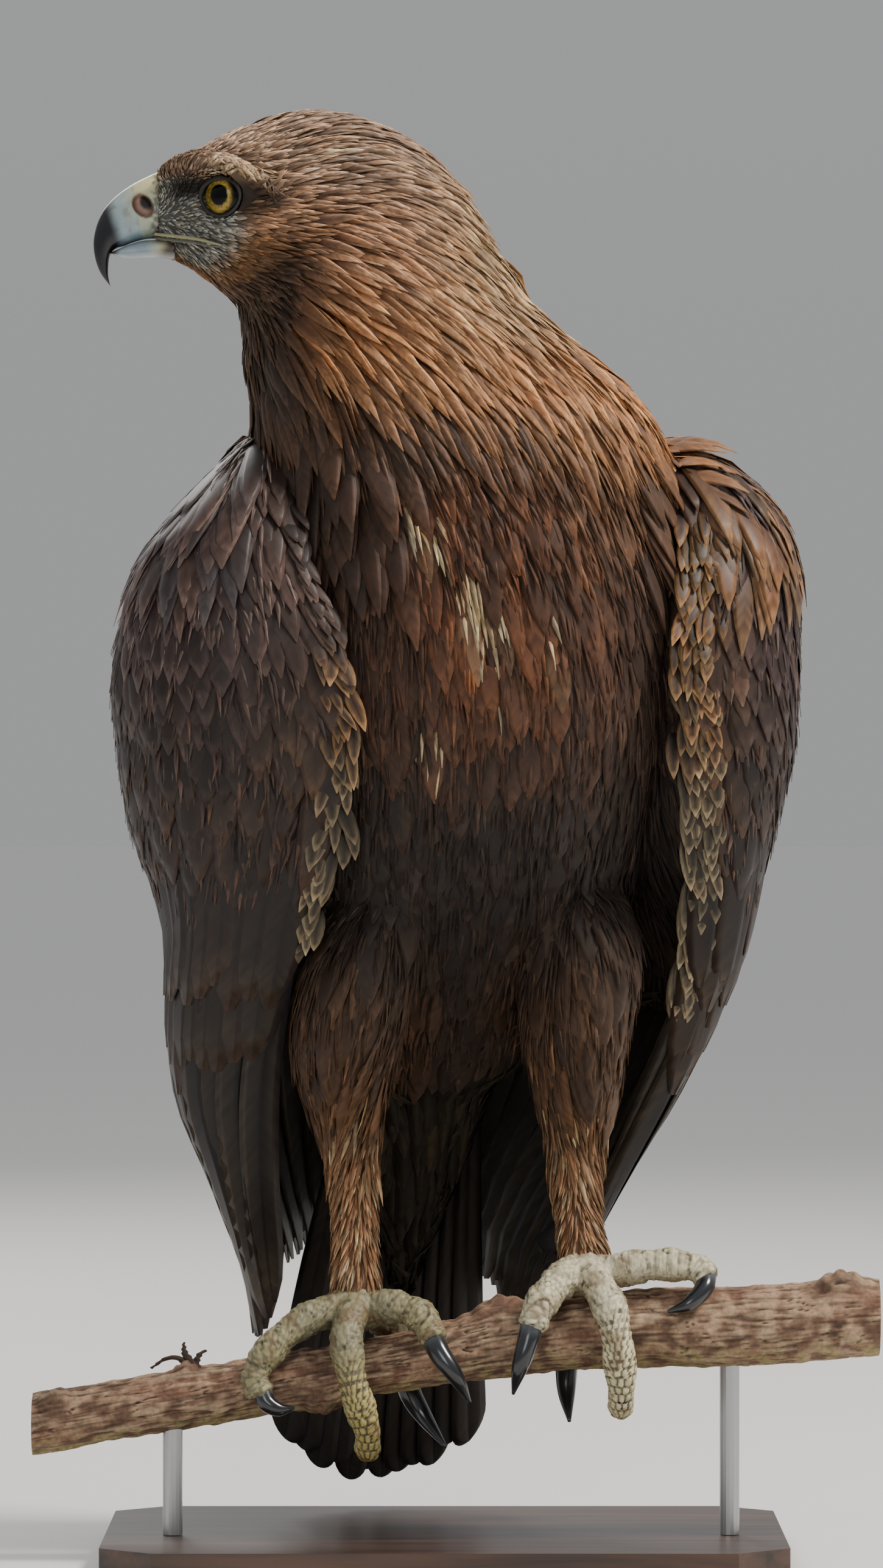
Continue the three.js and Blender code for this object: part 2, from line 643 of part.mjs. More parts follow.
function wingCoverts(side) {
  const surface = (along, across, lift) => wingSurface(side, along, across, lift);
  const vanes = COVERT_TIERS.flatMap(([root, tip, count, first, last, half, stand], tier) =>
    spread(first, last, count, 0, tier).map((across, i) =>
      vane(surface, {
        root: [root, across],
        tip: [tip + 3 * Math.sin(5 * i + tier), across],
        half, stand, shape: COVERT_SHAPE,
      })));
  const { from, to, count, length, half, across, stand } = EDGE_COVERTS;
  for (const root of steps(from, to, count - 1))
    vanes.push(vane(surface, {
      root: [root, across], tip: [root - length, across - 0.02], half, stand, shape: COVERT_SHAPE,
    }));
  return vanes;
}

function flightFeathers(side) {
  const surface = (along, across, lift) => wingSurface(side, along, across, lift);
  const { root, count, first, last, half, stand } = FLIGHT;
  return steps(first, last, count - 1).map((across) =>
    vane(surface, {
      root: [root, across],
      tip: [tableAt(FLIGHT_TIPS, across)[1], across],
      half, stand, shape: FLIGHT_SHAPE, tilt: LOUVRE, quick: 0.2,
    }));
}

// The tail's fan. along runs down the tail, across over its width, and lift stands off its back.
function tailSurface(along, across, lift) {
  const half = TAIL.rootHalf + (TAIL.tipHalf - TAIL.rootHalf) * along;
  const up = TAIL.rootW + (TAIL.tipW - TAIL.rootW) * along + TAIL.shorter * across * across * along;
  const back = TAIL.rootV + (TAIL.tipV - TAIL.rootV) * along + TAIL.bow * Math.sin(Math.PI * along);
  return fromBody(1, across * half + TAIL.sway * along, back + lift, up);
}

// Tail feathers lie in layers, the middle one on top.
function tailFeathers() {
  const { feathers, layer, root, half } = TAIL;
  return steps(-1, 1, feathers - 1).map((across, i) => {
    const middle = (feathers - 1) / 2;
    const level = -layer * Math.abs(i - middle) + (i === Math.ceil(middle) ? layer : 0);
    const surface = (along, place, lift) => tailSurface(along, place, lift + level);
    return sheetBody(
      ([s, wide], c, face) => {
        const thick = (VANE.thick + (VANE.tip - VANE.thick) * s) / 2;
        return surface(root + (1 - root) * s, across + c * half * wide, face * thick);
      },
      TAIL_SHAPE,
      [-1, 1],
    );
  });
}

function perchBody() {
  const grain = (t) => 1 + 0.02 * Math.sin(31 * t) + 0.015 * Math.sin(67 * t + 1);
  return tube(PERCH_ROWS, 12, 12, grain);
}

function knotBody([x, angle, length, width, height]) {
  const [, y, z, radius] = tableAt(PERCH_ROWS, x);
  const out = V(0, -Math.sin(radians(angle)), Math.cos(radians(angle)));
  return new THREE.SphereGeometry(1, 8, 5)
    .scale(length, width, height + 3)
    .applyQuaternion(new THREE.Quaternion().setFromUnitVectors(V(0, 0, 1), out))
    .translate(x, y + out.y * (radius - 3), z + out.z * (radius - 3));
}

function footPad({ x, y, z, half }) {
  return new THREE.SphereGeometry(1, 12, 8).rotateX(Math.PI / 2).scale(...half).translate(x, y, z);
}

// A toe has scutes across it: each stands a little proud at its far edge.
function toeBody(rows, pad) {
  const stations = [];
  for (let i = 0; i < SCUTES.count; i += 1) stations.push(i / SCUTES.count, (i + 0.8) / SCUTES.count);
  stations.push(1);
  const profile = (t) => {
    const part = (t * SCUTES.count) % 1;
    return t === 1 ? 0.86 : 1 + (part > 0.5 ? SCUTES.rise : 0) - (t === 0 ? 0.2 : 0);
  };
  return tube(rows.map(([x, y, z, r]) => [x + pad.x, y + pad.y, z + pad.z, r]), 8, stations, profile);
}

const clawBody = (rows, pad) =>
  tube(rows.map(([x, y, z, r]) => [x + pad.x, y + pad.y, z + pad.z, r]), 7, 5);

function baseBody() {
  const { length, width, height, corner } = BASE;
  const x = length / 2;
  const y = width / 2;
  const outline = new THREE.Shape([
    [-x + corner, -y], [x - corner, -y], [x, -y + corner], [x, y - corner],
    [x - corner, y], [-x + corner, y], [-x, y - corner], [-x, -y + corner],
  ].map(([px, py]) => new THREE.Vector2(px, py)));
  return new THREE.ExtrudeGeometry(outline, { depth: height, bevelEnabled: false }).translate(BASE.x, BASE.y, 0);
}

function rodBody(x) {
  const [, y, z] = tableAt(PERCH_ROWS, x);
  const low = BASE.height + GAP;
  return new THREE.CylinderGeometry(ROD.radius, ROD.radius, z - low, 16)
    .rotateX(Math.PI / 2)
    .translate(x, y, (z + low) / 2);
}

// The pieces, each cut clear of those made before it that it touches
const group = new THREE.Group();
group.position.set(-BASE.x, -BASE.y, 0);

function add(name, shape, colour, roughness = 0.8, metalness = 0) {
  const mesh = shape.getMesh();
  const geometry = new THREE.BufferGeometry()
    .setAttribute("position", new THREE.BufferAttribute(new Float32Array(mesh.vertProperties), 3))
    .setIndex(new THREE.BufferAttribute(new Uint32Array(mesh.triVerts), 1));
  geometry.computeVertexNormals();
  const node = new THREE.Mesh(geometry, new THREE.MeshStandardMaterial({ color: colour, roughness, metalness }));
  node.name = name;
  group.add(node);
}

const clear = (shape, ...neighbours) =>
  largest(neighbours.flat().reduce((rest, other) => rest.subtract(other), shape));

const bodyGeometry = levelLoft(BODY_ROWS, 20, 18);
const headGeometry = ringBody(HEAD_ROWS.map((row) => headRing(row, 16)));
const bodyGrown = [grown(bodyGeometry, GAP), grown(headGeometry, GAP)];
const eyes = { right: eyeBall(-1), left: eyeBall(1) };

const whole = joined([
  bodyGeometry,
  headGeometry,
  ...headTubes(BROW_ROWS, 5, 5),
  ...headTubes(LIP_ROWS, 4, 3),
  lidRing(-1),
  lidRing(1),
]);
const upper = parted(whole, HEAD_CUT);
const lower = parted(upper.below, NECK_CUT);
const mouth = headTubes(LIP_ROWS, 4, 3, MOUTH_DROP, MOUTH_RADIUS).map(solid);
const head = clear(upper.above, Object.values(eyes).map((eye) => grown(eye, GAP)), mouth);
const coat = coatOf(whole, BODY_ROWS);
const hackles = HACKLE_ROWS.map((row, i) => joined(hackleRow(coat, row, i)));
add("head", head, COLOURS.tawny);
const neck = parted(wasm.Manifold.union([lower.above, ...hackles]), HEAD_CUT).below;
add("neck", largest(neck), COLOURS.brown);
add("torso", largest(lower.below), COLOURS.darkBrown);
add("eye_right", solid(eyes.right), COLOURS.iris, 0.15);
add("eye_left", solid(eyes.left), COLOURS.iris, 0.15);

const billGeometry = billBody(BILL_ROWS, 13, 0.42);
const bill = clear(solid(billGeometry), bodyGrown, solid(nostril(-1)), solid(nostril(1)),
  headTubes(LIP_ROWS, 4, 3).map((lip) => grown(lip, GAP)),
  headTubes(BROW_ROWS, 5, 5).map((brow) => grown(brow, GAP)));
const bills = parted(bill, CERE_CUT);
add("cere", largest(bills.above), COLOURS.cere, 0.5);
add("upper_bill", largest(bills.below), COLOURS.horn, 0.25);
add("lower_bill", clear(solid(billBody(JAW_ROWS, 11, -0.2)), bodyGrown, grown(billGeometry, GAP),
  headTubes(LIP_ROWS, 4, 3).map((lip) => grown(lip, GAP))), COLOURS.blueHorn, 0.3);

const perchGeometry = perchBody();
const knots = KNOTS.map(knotBody);
const perchGrown = [perchGeometry, ...knots].map((g) => grown(g, GAP));
add("perch", joined([perchGeometry, ...knots]), COLOURS.bark, 0.9);

const torsoGrown = grown(bodyGeometry, GAP);
const tailCore = levelLoft(TAIL_CORE.map(([z, out, back, a, b]) => {
  const at = fromBody(1, out, back, z);
  return [z, at.x, at.y, a, b, BODY_TURN];
}), 14, 4);
const legs = {};
for (const side of ["right", "left"]) {
  const thigh = levelLoft(THIGH_ROWS[side], 14, 7);
  const shank = levelLoft(SHANK_ROWS[side], 12, 5);
  const pad = footPad(FOOT[side].pad);
  legs[side] = { thigh, thighGrown: grown(thigh, GAP) };
  add(`thigh_${side}`, clear(solid(thigh), torsoGrown), COLOURS.brown);
  add(`shank_${side}`, clear(solid(shank), legs[side].thighGrown, perchGrown), COLOURS.rufous);
  add(`foot_${side}`, clear(solid(pad), grown(shank, GAP), perchGrown), COLOURS.scale);
  const built = [grown(pad, GAP), grown(shank, GAP)];
  for (const [toe, rows] of Object.entries(FOOT[side].toes)) {
    const body = toeBody(rows, FOOT[side].pad);
    add(`toe_${side}_${toe}`, clear(solid(body), built, perchGrown), COLOURS.scale);
    add(`claw_${side}_${toe}`, clear(solid(clawBody(FOOT[side].claws[toe], FOOT[side].pad)),
      grown(body, GAP), perchGrown), COLOURS.horn, 0.3);
    built.push(grown(body, GAP));
  }
}

add("tail", clear(joined([tailCore, ...tailFeathers()]), torsoGrown), COLOURS.darkBrown);
for (const [name, side] of [["right", -1], ["left", 1]]) {
  const body = [torsoGrown, legs[name].thighGrown, grown(tailCore, GAP)];
  const arm = joined([wingCore(side, ARM_FOOT + GAP / 2, WING_TOP, 7), ...wingCoverts(side)]);
  const flight = joined([wingCore(side, FLIGHT_CORE, ARM_FOOT - GAP / 2, 3), ...flightFeathers(side)]);
  add(`wing_${name}`, clear(arm, body), COLOURS.darkBrown);
  add(`flight_${name}`, clear(flight, body), COLOURS.darkBrown);
}

add("stand_base", solid(baseBody()), COLOURS.baseWood, 0.5);
ROD.x.forEach((x, i) => add(`stand_rod_${i + 1}`, clear(solid(rodBody(x)), perchGrown), COLOURS.steel, 0.3, 0.9));

export default group;
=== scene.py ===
import itertools
import math

import bpy
import numpy as np
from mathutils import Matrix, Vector, noise
from mathutils.bvhtree import BVHTree
from mathutils.kdtree import KDTree


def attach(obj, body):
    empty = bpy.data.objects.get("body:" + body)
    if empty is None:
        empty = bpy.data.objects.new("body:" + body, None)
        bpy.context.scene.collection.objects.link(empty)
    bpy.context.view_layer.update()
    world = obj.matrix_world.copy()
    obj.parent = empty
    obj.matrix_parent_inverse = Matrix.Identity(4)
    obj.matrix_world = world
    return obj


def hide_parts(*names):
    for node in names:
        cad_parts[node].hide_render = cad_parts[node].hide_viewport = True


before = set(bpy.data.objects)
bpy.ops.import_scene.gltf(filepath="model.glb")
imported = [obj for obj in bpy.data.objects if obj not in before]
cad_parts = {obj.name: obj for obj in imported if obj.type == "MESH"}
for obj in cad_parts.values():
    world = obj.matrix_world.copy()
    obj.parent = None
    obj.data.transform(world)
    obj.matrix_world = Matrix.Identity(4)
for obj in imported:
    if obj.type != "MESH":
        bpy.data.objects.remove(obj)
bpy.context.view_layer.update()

dice = np.random.default_rng(7)

# Sizes are in millimetres in the perch's frame, as in the solids' source. This is the step
# from there to the model's frame.
TO_MODEL = np.array([18.0, -28.0, 0.0])
MM = 0.001
TURN_DEGREES = 14
BODY_TURN = math.radians(TURN_DEGREES)
BODY_X = -8
HEAD_Y = -18
SIDES = {"right": -1, "left": 1}

# Level slices of the body: z, centre x, centre y, half width, half depth, turn in degrees.
BODY_ROWS = [
    [212, -26, 73, 22, 12, 14], [222, -25, 70, 38, 22, 14], [238, -23, 63, 52, 33, 14],
    [264, -20, 49, 69, 49, 14], [300, -16, 31, 84, 66, 14], [340, -12, 16, 94, 80, 14],
    [385, -9, 4, 99, 90, 14], [430, -8, -1, 100, 91, 14], [470, -8, -3, 97, 85, 14],
    [500, -9, -5, 94, 76, 14], [524, -17, -8, 90, 66, 11], [545, -31, -11, 80, 58, 7],
    [560, -40, -13, 71, 53, 4], [575, -48, -15, 65, 49, 2], [592, -50, -17, 57, 44, 0],
    [608, -51, -18, 47, 39, 0], [624, -54, -18, 36, 33, 0], [638, -58, -18, 20, 20, 0],
    [644, -60, -18, 8, 8, 0],
]
LEVEL_STEP = 3.0
# Upright slices of the head: x, middle z, half height, half width.
HEAD_ROWS = [
    [-148, 613.2, 17, 12.5], [-146.5, 613.4, 19.6, 14.5], [-140, 614.7, 24, 18.5],
    [-132, 615, 28, 23], [-122, 614.5, 34, 28], [-110, 612.5, 41.5, 32.5], [-95, 612, 46, 35.5],
    [-78, 615, 45.5, 36.5], [-60, 617, 41.5, 36], [-42, 618, 33.5, 32], [-28, 619, 24, 24.5],
    [-17, 619.5, 13, 14],
]
# The back of the neck: x, y, z, radius. Then the ridge over the eye, and the lip: x, distance
# from the middle plane, z, radius.
NAPE_ROWS = [
    [-42, -18, 618, 26], [-34.5, -18, 609, 27], [-30, -18, 597, 28], [-24, -17, 584, 29],
    [-14, -16, 566, 31],
]
BROW_ROWS = [
    [-147, 9.5, 630.5, 3], [-138, 17.5, 635, 4.6], [-127, 25.5, 636.5, 5.4],
    [-115, 30.5, 634, 5.2], [-103, 33.2, 628, 4], [-96, 33.5, 623, 2.4],
]
LIP_ROWS = [
    [-149, 10.8, 603.6, 1.5], [-140, 17, 602.2, 1.9], [-131, 22.4, 600.8, 1.9],
    [-124, 25.8, 599, 1.3],
]
# The upper bill: top edge x and z, lower edge x and z, half width. Then the lower one.
BILL_ROWS = [
    [-142, 634, -142, 602.4, 13.4], [-148, 632.4, -148, 602.3, 12.4],
    [-154, 629.8, -154, 601.9, 11.2], [-160, 626.6, -159.6, 600.4, 10],
    [-165.2, 623, -163.4, 598.9, 8.7], [-169.6, 619, -166.4, 598, 7.5],
    [-173.4, 614, -168.4, 596.8, 6.4], [-176, 607.8, -169.6, 595, 5.4],
    [-177.3, 600.6, -170.3, 592.6, 4.4], [-176.5, 593.2, -170.6, 589.4, 3.4],
    [-174, 586.4, -170.6, 585.4, 2.2], [-169.6, 580.6, -169.9, 581.6, 0.5],
]
JAW_ROWS = [
    [-140, 601.6, -140, 592.6, 13], [-148, 601.6, -148, 593.6, 11.6],
    [-155, 601.2, -155, 593.4, 10], [-161.5, 599.4, -161.5, 593.4, 8],
    [-166.5, 597.2, -166.5, 594.2, 5.6], [-169.4, 596, -169.4, 595.2, 2],
]
BILL_BASE = np.array([-140.0, HEAD_Y, 612.0])
NOSTRIL = [-154.6, 616.6]
EYE = {"x": -116.4, "z": 620.2, "side": 17.5, "radius": 11.4}
# The ball sits this much behind the middle of its lids, and this much to the head's rear.
EYE_BACK = 0.88
EYE_REAR = 1.4
IRIS = 8.7
PUPIL = 4.3
PUPIL_AIM = [2.4, 0.3]  # how far behind and above the middle of the iris the pupil is drawn
GAZE = np.array([-0.66, 0.75, -0.03])
LID = {"ring": 9.25, "tube": 0.95, "look": np.array([-0.42, 1.0, -0.02])}
SOCKET_FLOOR = 3.2

# Each leg from the hip down: z, centre x, centre y, half width, half depth, turn.
THIGH_ROWS = {
    "right": [
        [186, -60.5, 12, 14, 15, 0], [198, -62, 9, 16.5, 19, 0], [216, -64, 4, 20.5, 26, 0],
        [240, -63, -3, 25.5, 34, 6], [268, -58, -6, 28, 39, 10], [296, -50, -2, 27, 37, 14],
        [316, -44, 2, 18, 24, 14],
    ],
    "left": [
        [190, 42, 22, 14.5, 16, 0], [200, 42.2, 20, 16.5, 19, 0], [216, 42.2, 17, 20, 25, 4],
        [240, 41.8, 13, 24, 32, 8], [268, 44, 12, 27, 37, 12], [296, 40, 16, 27, 36, 14],
        [316, 34, 18, 18, 24, 14],
    ],
}
SHANK_ROWS = {
    "right": [
        [118, -58.5, 1, 12.5, 12, 0], [126, -58.5, 2, 13.4, 13, 0], [138, -58.7, 4, 12.4, 12.4, 0],
        [154, -59, 8, 12.2, 12.4, 0], [172, -59.8, 12, 12.8, 13.4, 0], [192, -61, 12, 14, 15, 0],
    ],
    "left": [
        [131, 46.5, 1, 13, 12, 0], [139, 45.8, 4, 13.6, 13, 0], [150, 44, 10, 12.8, 12.6, 0],
        [164, 42.8, 17, 12.9, 12.8, 0], [180, 42.2, 22, 13.8, 14.4, 0], [196, 42, 22, 15, 16, 0],
    ],
}
# The perch's middle line and radius, and its knots: x, angle, length, width, height.
PERCH_ROWS = [
    [-206, 3, 62, 13.8], [-162, 0, 70, 13.8], [-119, -1, 77, 13.6], [-80, 0, 84, 13.4],
    [-42, 0, 90.5, 13.2], [4, 0, 99, 15.8], [40, 0, 104, 16.8], [75, 0, 106.5, 17.6],
    [121, 1, 107.5, 18.2], [180, 0, 111.5, 17.6],
]
KNOTS = [
    [-196, 40, 9, 9, 4], [-136, 8, 7, 6, 4], [-72, 150, 12, 9, 6], [6, 10, 14, 9, 6],
    [162, 25, 12, 10, 7],
]
# Pads: centre and half sizes. Toes and claws, as points from there: x, y, z, radius.
FEET = {
    "right": {
        "pad": [-58.5, -1, 115.5, 16, 13.5, 10.5],
        "toes": {
            "outer": [
                [-3, -2, -1, 8.4], [-12, -7, -1, 8.4], [-25, -13, -6, 7.6], [-39, -19, -18, 7.4],
                [-45.5, -21, -30, 6.8], [-42, -22.5, -38, 6.2],
            ],
            "middle": [
                [0, -4, -1, 8.6], [-2, -12, -3, 8.6], [-4, -21, -14, 7.9], [-1, -24, -32, 7.4],
                [3, -22.5, -46, 7.2], [5.5, -20, -54, 6.6],
            ],
            "inner": [
                [3, -2, 0, 8.6], [11, -6, 1, 8.4], [21, -10.5, 1, 7.8], [31, -15.5, -4, 7.6],
                [36, -22, -13, 6.8],
            ],
            "hind": [
                [2, 3, -1, 8.6], [7, 13, -1, 8.8], [14, 22, -9, 8.2], [20, 26, -23, 7.6],
                [23, 23, -35, 6.8],
            ],
        },
        "claws": {
            "outer": [
                [-42.5, -21.5, -35, 4.6], [-40, -24, -41, 4.3], [-34.5, -25, -44, 3.2],
                [-27.5, -22.5, -43.5, 0.7],
            ],
            "middle": [
                [5, -21, -51, 4.8], [6, -17, -59, 4.5], [6, -7, -63.5, 3.4], [5.5, 6, -60, 0.7],
            ],
            "inner": [
                [34.5, -19, -11, 5.2], [38.5, -25, -19, 5], [45.5, -27.5, -29, 3.8],
                [52, -23, -41, 0.7],
            ],
            "hind": [
                [22.5, 24, -32, 5.4], [25, 22.5, -41, 5.2], [31, 20, -51, 4], [41, 9, -64, 0.8],
            ],
        },
    },
    "left": {
        "pad": [46.5, -1, 131, 16.5, 14, 10.5],
        "toes": {
            "outer": [
                [3, -2, 0, 8.8], [12, -5, 1.5, 8.8], [24, -7, 4, 8], [38, -8.5, 5, 7.8],
                [50, -10.5, 3.5, 7.2], [55.5, -14, -1.5, 6.4],
            ],
            "middle": [
                [1, -4, -1, 8.8], [4, -13, -3, 8.8], [10, -23, -13, 8.2], [13.5, -27.5, -28, 7.8],
                [15, -26, -42, 7.4], [15.5, -23, -50, 6.8],
            ],
            "inner": [
                [-3, -2, 0, 8.8], [-9, -9, -1, 8.8], [-16, -18, -6, 8.2], [-22, -25, -14, 7.8],
                [-25, -28, -23, 6.8],
            ],
            "hind": [
                [-1, 3, -1, 8.8], [-3, 13, -1, 9], [-5, 24, -9, 8.4], [-7, 29, -24, 7.8],
                [-8, 26, -38, 6.8],
            ],
        },
        "claws": {
            "outer": [
                [54.5, -12.5, 0, 4.6], [53, -18.5, -5.5, 4.4], [46, -23, -12, 3.3],
                [36.5, -22.5, -15.5, 0.7],
            ],
            "middle": [
                [15, -24, -47, 4.8], [16, -19.5, -57, 4.5], [16, -9, -62, 3.4], [16, 5, -58, 0.7],
            ],
            "inner": [
                [-25, -27, -21, 5.2], [-27, -30, -29, 5], [-30.5, -31.5, -40, 3.8],
                [-33.5, -27, -52.5, 0.7],
            ],
            "hind": [
                [-8, 26.5, -35, 5.4], [-8.5, 25.5, -44, 5.2], [-8.5, 22, -56, 4],
                [-7.4, 12, -68, 0.8],
            ],
        },
    },
}
TOE_RINGS = 64
# Undersides, tops and big scales. The left foot's colours are painted lighter as sunlit, and the right
# foot's darker as shaded
FOOT_COLOURS = {"right": ["6c674e", "8f8869", "bdab62"], "left": ["978c70", "cfc6a8", "e0d3a4"]}
# A folded wing in level slices: height, front edge out and back, rear edge out and back,
# furthest reach, and what the left wing adds to the front edge and to the reach.
WING_ROWS = [
    [92, 62, 104, 38, 158, 70, -6, -14], [130, 76, 66, 28, 153, 84, -8, -16],
    [170, 84, 42, 24, 145, 102, -4, -18], [210, 88, 22, 20, 136, 121, 4, -15],
    [250, 88, 0, 18, 128, 128, 14, -8], [290, 86, -24, 18, 121, 132, 18, -2],
    [330, 80, -50, 20, 115, 150, 20, -13], [370, 80, -66, 24, 109, 159, 13, -14],
    [410, 85, -70, 30, 104, 162, 6, -15], [450, 94, -62, 38, 96, 151, 2, -3],
    [480, 96, -46, 46, 84, 130, 0, 10], [500, 94, -22, 54, 66, 113, 0, 12],
    [514, 92, 2, 62, 42, 100, 0, 8],
]
WING_DEPTH = [[92, 4], [210, 5], [250, 8], [300, 12], [514, 12]]
WING_EDGE = 4.5
ARM_FILL = (262, 350)
ARM_MIDDLE = (45, 5)
# Rows of lesser coverts down the wing: height, length, half width.
COVERT_ROWS = [[508 - 8.4 * k, 31 + 1.5 * k, 5.3 + 0.3 * k] for k in range(15)]
COVERT_ROWS += [[382, 56, 9.8], [368, 60, 10.4], [352, 64, 11.0]]
# Where the flight feathers' tips reach, from the front edge to the rear one, and their shape.
FLIGHT_TIPS = [[0, 118], [0.15, 100], [0.35, 98], [0.5, 108], [0.65, 120], [0.85, 134], [1, 148]]
FLIGHT_QUILL = [0, 0.15, 0.5, 0.86, 0.95, 1], [0.7, 0.95, 1, 0.82, 0.55, 0.16]
FLIGHT_ROOT = 296.0
LINING_TOP = 264
TAIL = {
    "root_v": 78,
    "root_w": 262,
    "tip_v": 146,
    "tip_w": 24,
    "bow": 10,
    "sway": -9,
    "root_half": 22,
    "tip_half": 44,
    "shorter": 20,
    "feathers": 12,
    "layer": 1.5,
}
# The tail's root: z, out and back from the body's middle, half width, half depth.
TAIL_CORE = [
    [116, -4, 110, 5, 2.6], [132, -3, 108, 10, 3.4], [150, -2, 104, 15, 5], [176, -2, 97, 24, 9],
    [204, -1, 88, 31, 15], [232, 0, 80, 37, 20], [256, 0, 72, 41, 24],
]
# Pale feathers on the breast: middle x and z, half width, half height.
PALE_SPOTS = [
    [-38, 484, 3.5, 8], [-25, 470, 4.5, 11], [-9, 452, 4.5, 13], [-2, 430, 4.5, 13],
    [5, 443, 3.5, 9], [24, 437, 2.5, 7], [-25, 390, 5, 9],
]
# How much smaller the skin is than the shapes above.
INSET = {"body": 3.0, "head": 2.2, "leg": 2.6, "wing": 4.0, "tail": 2.0}
MOST_TRIANGLES = 190000  # in one piece of the coat
TRIES = 3.2  # places tried in each square of a coat's spacing
NEIGHBOURS = list(itertools.product((-1, 0, 1), repeat=3))


def smooth(low, high, value):
    """Nought at low and one at high, with a soft step between. low may be the larger."""
    t = np.clip((np.asarray(value, float) - low) / (high - low), 0, 1)
    return t * t * (3 - 2 * t)


def mix(a, b, share):
    return a + (b - a) * np.asarray(share)[..., None]


def unit(v):
    return v / np.maximum(np.linalg.norm(v, axis=-1, keepdims=True), 1e-9)


def stacked(*parts):
    """Numbers and arrays set side by side, as the coordinates of points."""
    return np.stack(np.broadcast_arrays(*parts), -1)


def turns(count):
    return np.linspace(0, 2 * np.pi, count, endpoint=False)


def ink(code):
    """A colour as it looks on a screen, turned into linear values."""
    c = np.array([int(code[i:i + 2], 16) for i in (0, 2, 4)]) / 255
    return np.where(c < 0.04045, c / 12.92, ((c + 0.055) / 1.055) ** 2.4)


def layered(colour, *layers):
    """A colour with others laid over it in turn, each a code and its share."""
    colour = ink(colour) if isinstance(colour, str) else colour
    for code, share in layers:
        colour = mix(colour, ink(code), share)
    return colour


def noise_at(points, scale=1.0):
    return np.array([noise.noise(Vector(p) * scale) for p in points])


def table_at(rows, key):
    """The columns of a table at each key, on a smooth curve through its rows."""
    rows = np.asarray(rows, float)
    last = len(rows) - 1
    k = np.clip(np.asarray(key, float), rows[0, 0], rows[last, 0])
    i = np.clip(np.searchsorted(rows[:, 0], k, side="right") - 1, 0, last - 1)
    order = np.arange(last + 1)
    low, high = np.maximum(order - 1, 0), np.minimum(order + 1, last)
    slope = (rows[high] - rows[low]) / (rows[high, 0] - rows[low, 0])[:, None]
    span = (rows[i + 1, 0] - rows[i, 0])[..., None]
    s = (k - rows[i, 0])[..., None] / span
    return (
        (1 + 2 * s) * (1 - s) ** 2 * rows[i] + s * (1 - s) ** 2 * span * slope[i]
        + s * s * (3 - 2 * s) * rows[i + 1] + s * s * (s - 1) * span * slope[i + 1]
    )


def curve_through(rows, count):
    """Evenly many rows on a smooth curve through the given ones."""
    rows = np.asarray(rows, float)
    key = np.arange(len(rows), dtype=float)[:, None]
    return table_at(np.hstack([key, rows]), np.linspace(0, len(rows) - 1, count))[:, 1:]


COS, SIN = math.cos(BODY_TURN), math.sin(BODY_TURN)


def from_body(side, out, back, up):
    x = side * out
    return stacked(BODY_X + x * COS - back * SIN, x * SIN + back * COS, up)


def to_body(points):
    """Out to the bird's left, back, and up, of points in the perch's frame."""
    x, y = points[..., 0] - BODY_X, points[..., 1]
    return np.stack([x * COS + y * SIN, -x * SIN + y * COS, points[..., 2]], -1)


def wing_point(side, along, across):
    """A place on a wing's outer face. across runs from its front edge to its rear one."""
    row = table_at(WING_ROWS, along)
    left = 1 if side > 0 else 0
    front, rear = row[..., 1] + left * row[..., 6], row[..., 3]
    reach = row[..., 5] + left * row[..., 7]
    # the curve between the edges bulges just enough to touch the furthest reach
    s = np.linspace(0.1, 0.9, 9)
    line = front[..., None] + (rear - front)[..., None] * (s * s * (3 - 2 * s))
    bulge = ((reach[..., None] - line) / (3 * s * (1 - s))).min(-1)
    t = across
    near, far = (1 - t) ** 3, t ** 3
    rise, fall = 3 * t * (1 - t) ** 2, 3 * t * t * (1 - t)
    out = near * front + rise * (front + bulge) + fall * (rear + bulge) + far * rear
    back = (near + rise) * row[..., 2] + (fall + far) * row[..., 4]
    return from_body(side, out, back, along)


def wing_surface(side, along, across):
    """Points on a wing's outer face, their normals, and millimetres for one whole across."""
    along, across = np.broadcast_arrays(np.asarray(along, float), np.asarray(across, float))
    step = 0.01
    t = np.clip(across, step, 1 - step)
    reach = wing_point(side, along, t + step) - wing_point(side, along, t - step)
    climb = wing_point(side, along + 1, t) - wing_point(side, along - 1, t)
    normal = unit(np.cross(reach, climb)) * (-1 if side < 0 else 1)
    point = wing_point(side, along, t) + reach * ((across - t) / (2 * step))[..., None]
    return point, normal, np.linalg.norm(reach, axis=-1) / (2 * step)


def wing_inner(side, along, across):
    """The folded arm's inner face: thin at its foot, and filled out towards the body above."""
    swell = np.sin(np.pi * np.clip(across, 0, 1)) ** 0.7
    thick = table_at(WING_DEPTH, along)[..., 1] - WING_EDGE
    thick = np.maximum(WING_EDGE + thick * swell, WING_EDGE)
    point, normal, _ = wing_surface(side, along, across)
    thin = point - normal * thick[..., None]
    ends = []
    for edge in (0.0, 1.0):
        p, n, _ = wing_surface(side, along, np.full_like(across, edge))
        ends.append(p - n * WING_EDGE)
    chord = mix(mix(*ends, across), from_body(side, *ARM_MIDDLE, along), 0.55 * np.sin(np.pi * across))
    return mix(thin, chord, smooth(*ARM_FILL, along))


def tail_surface(along, across):
    half = TAIL["root_half"] + (TAIL["tip_half"] - TAIL["root_half"]) * along
    up = TAIL["root_w"] + (TAIL["tip_w"] - TAIL["root_w"]) * along
    up = up + TAIL["shorter"] * across * across * along
    back = TAIL["root_v"] + (TAIL["tip_v"] - TAIL["root_v"]) * along
    back = back + TAIL["bow"] * np.sin(np.pi * along)
    return from_body(1, across * half + TAIL["sway"] * along, back, up)


# Meshes, made from arrays

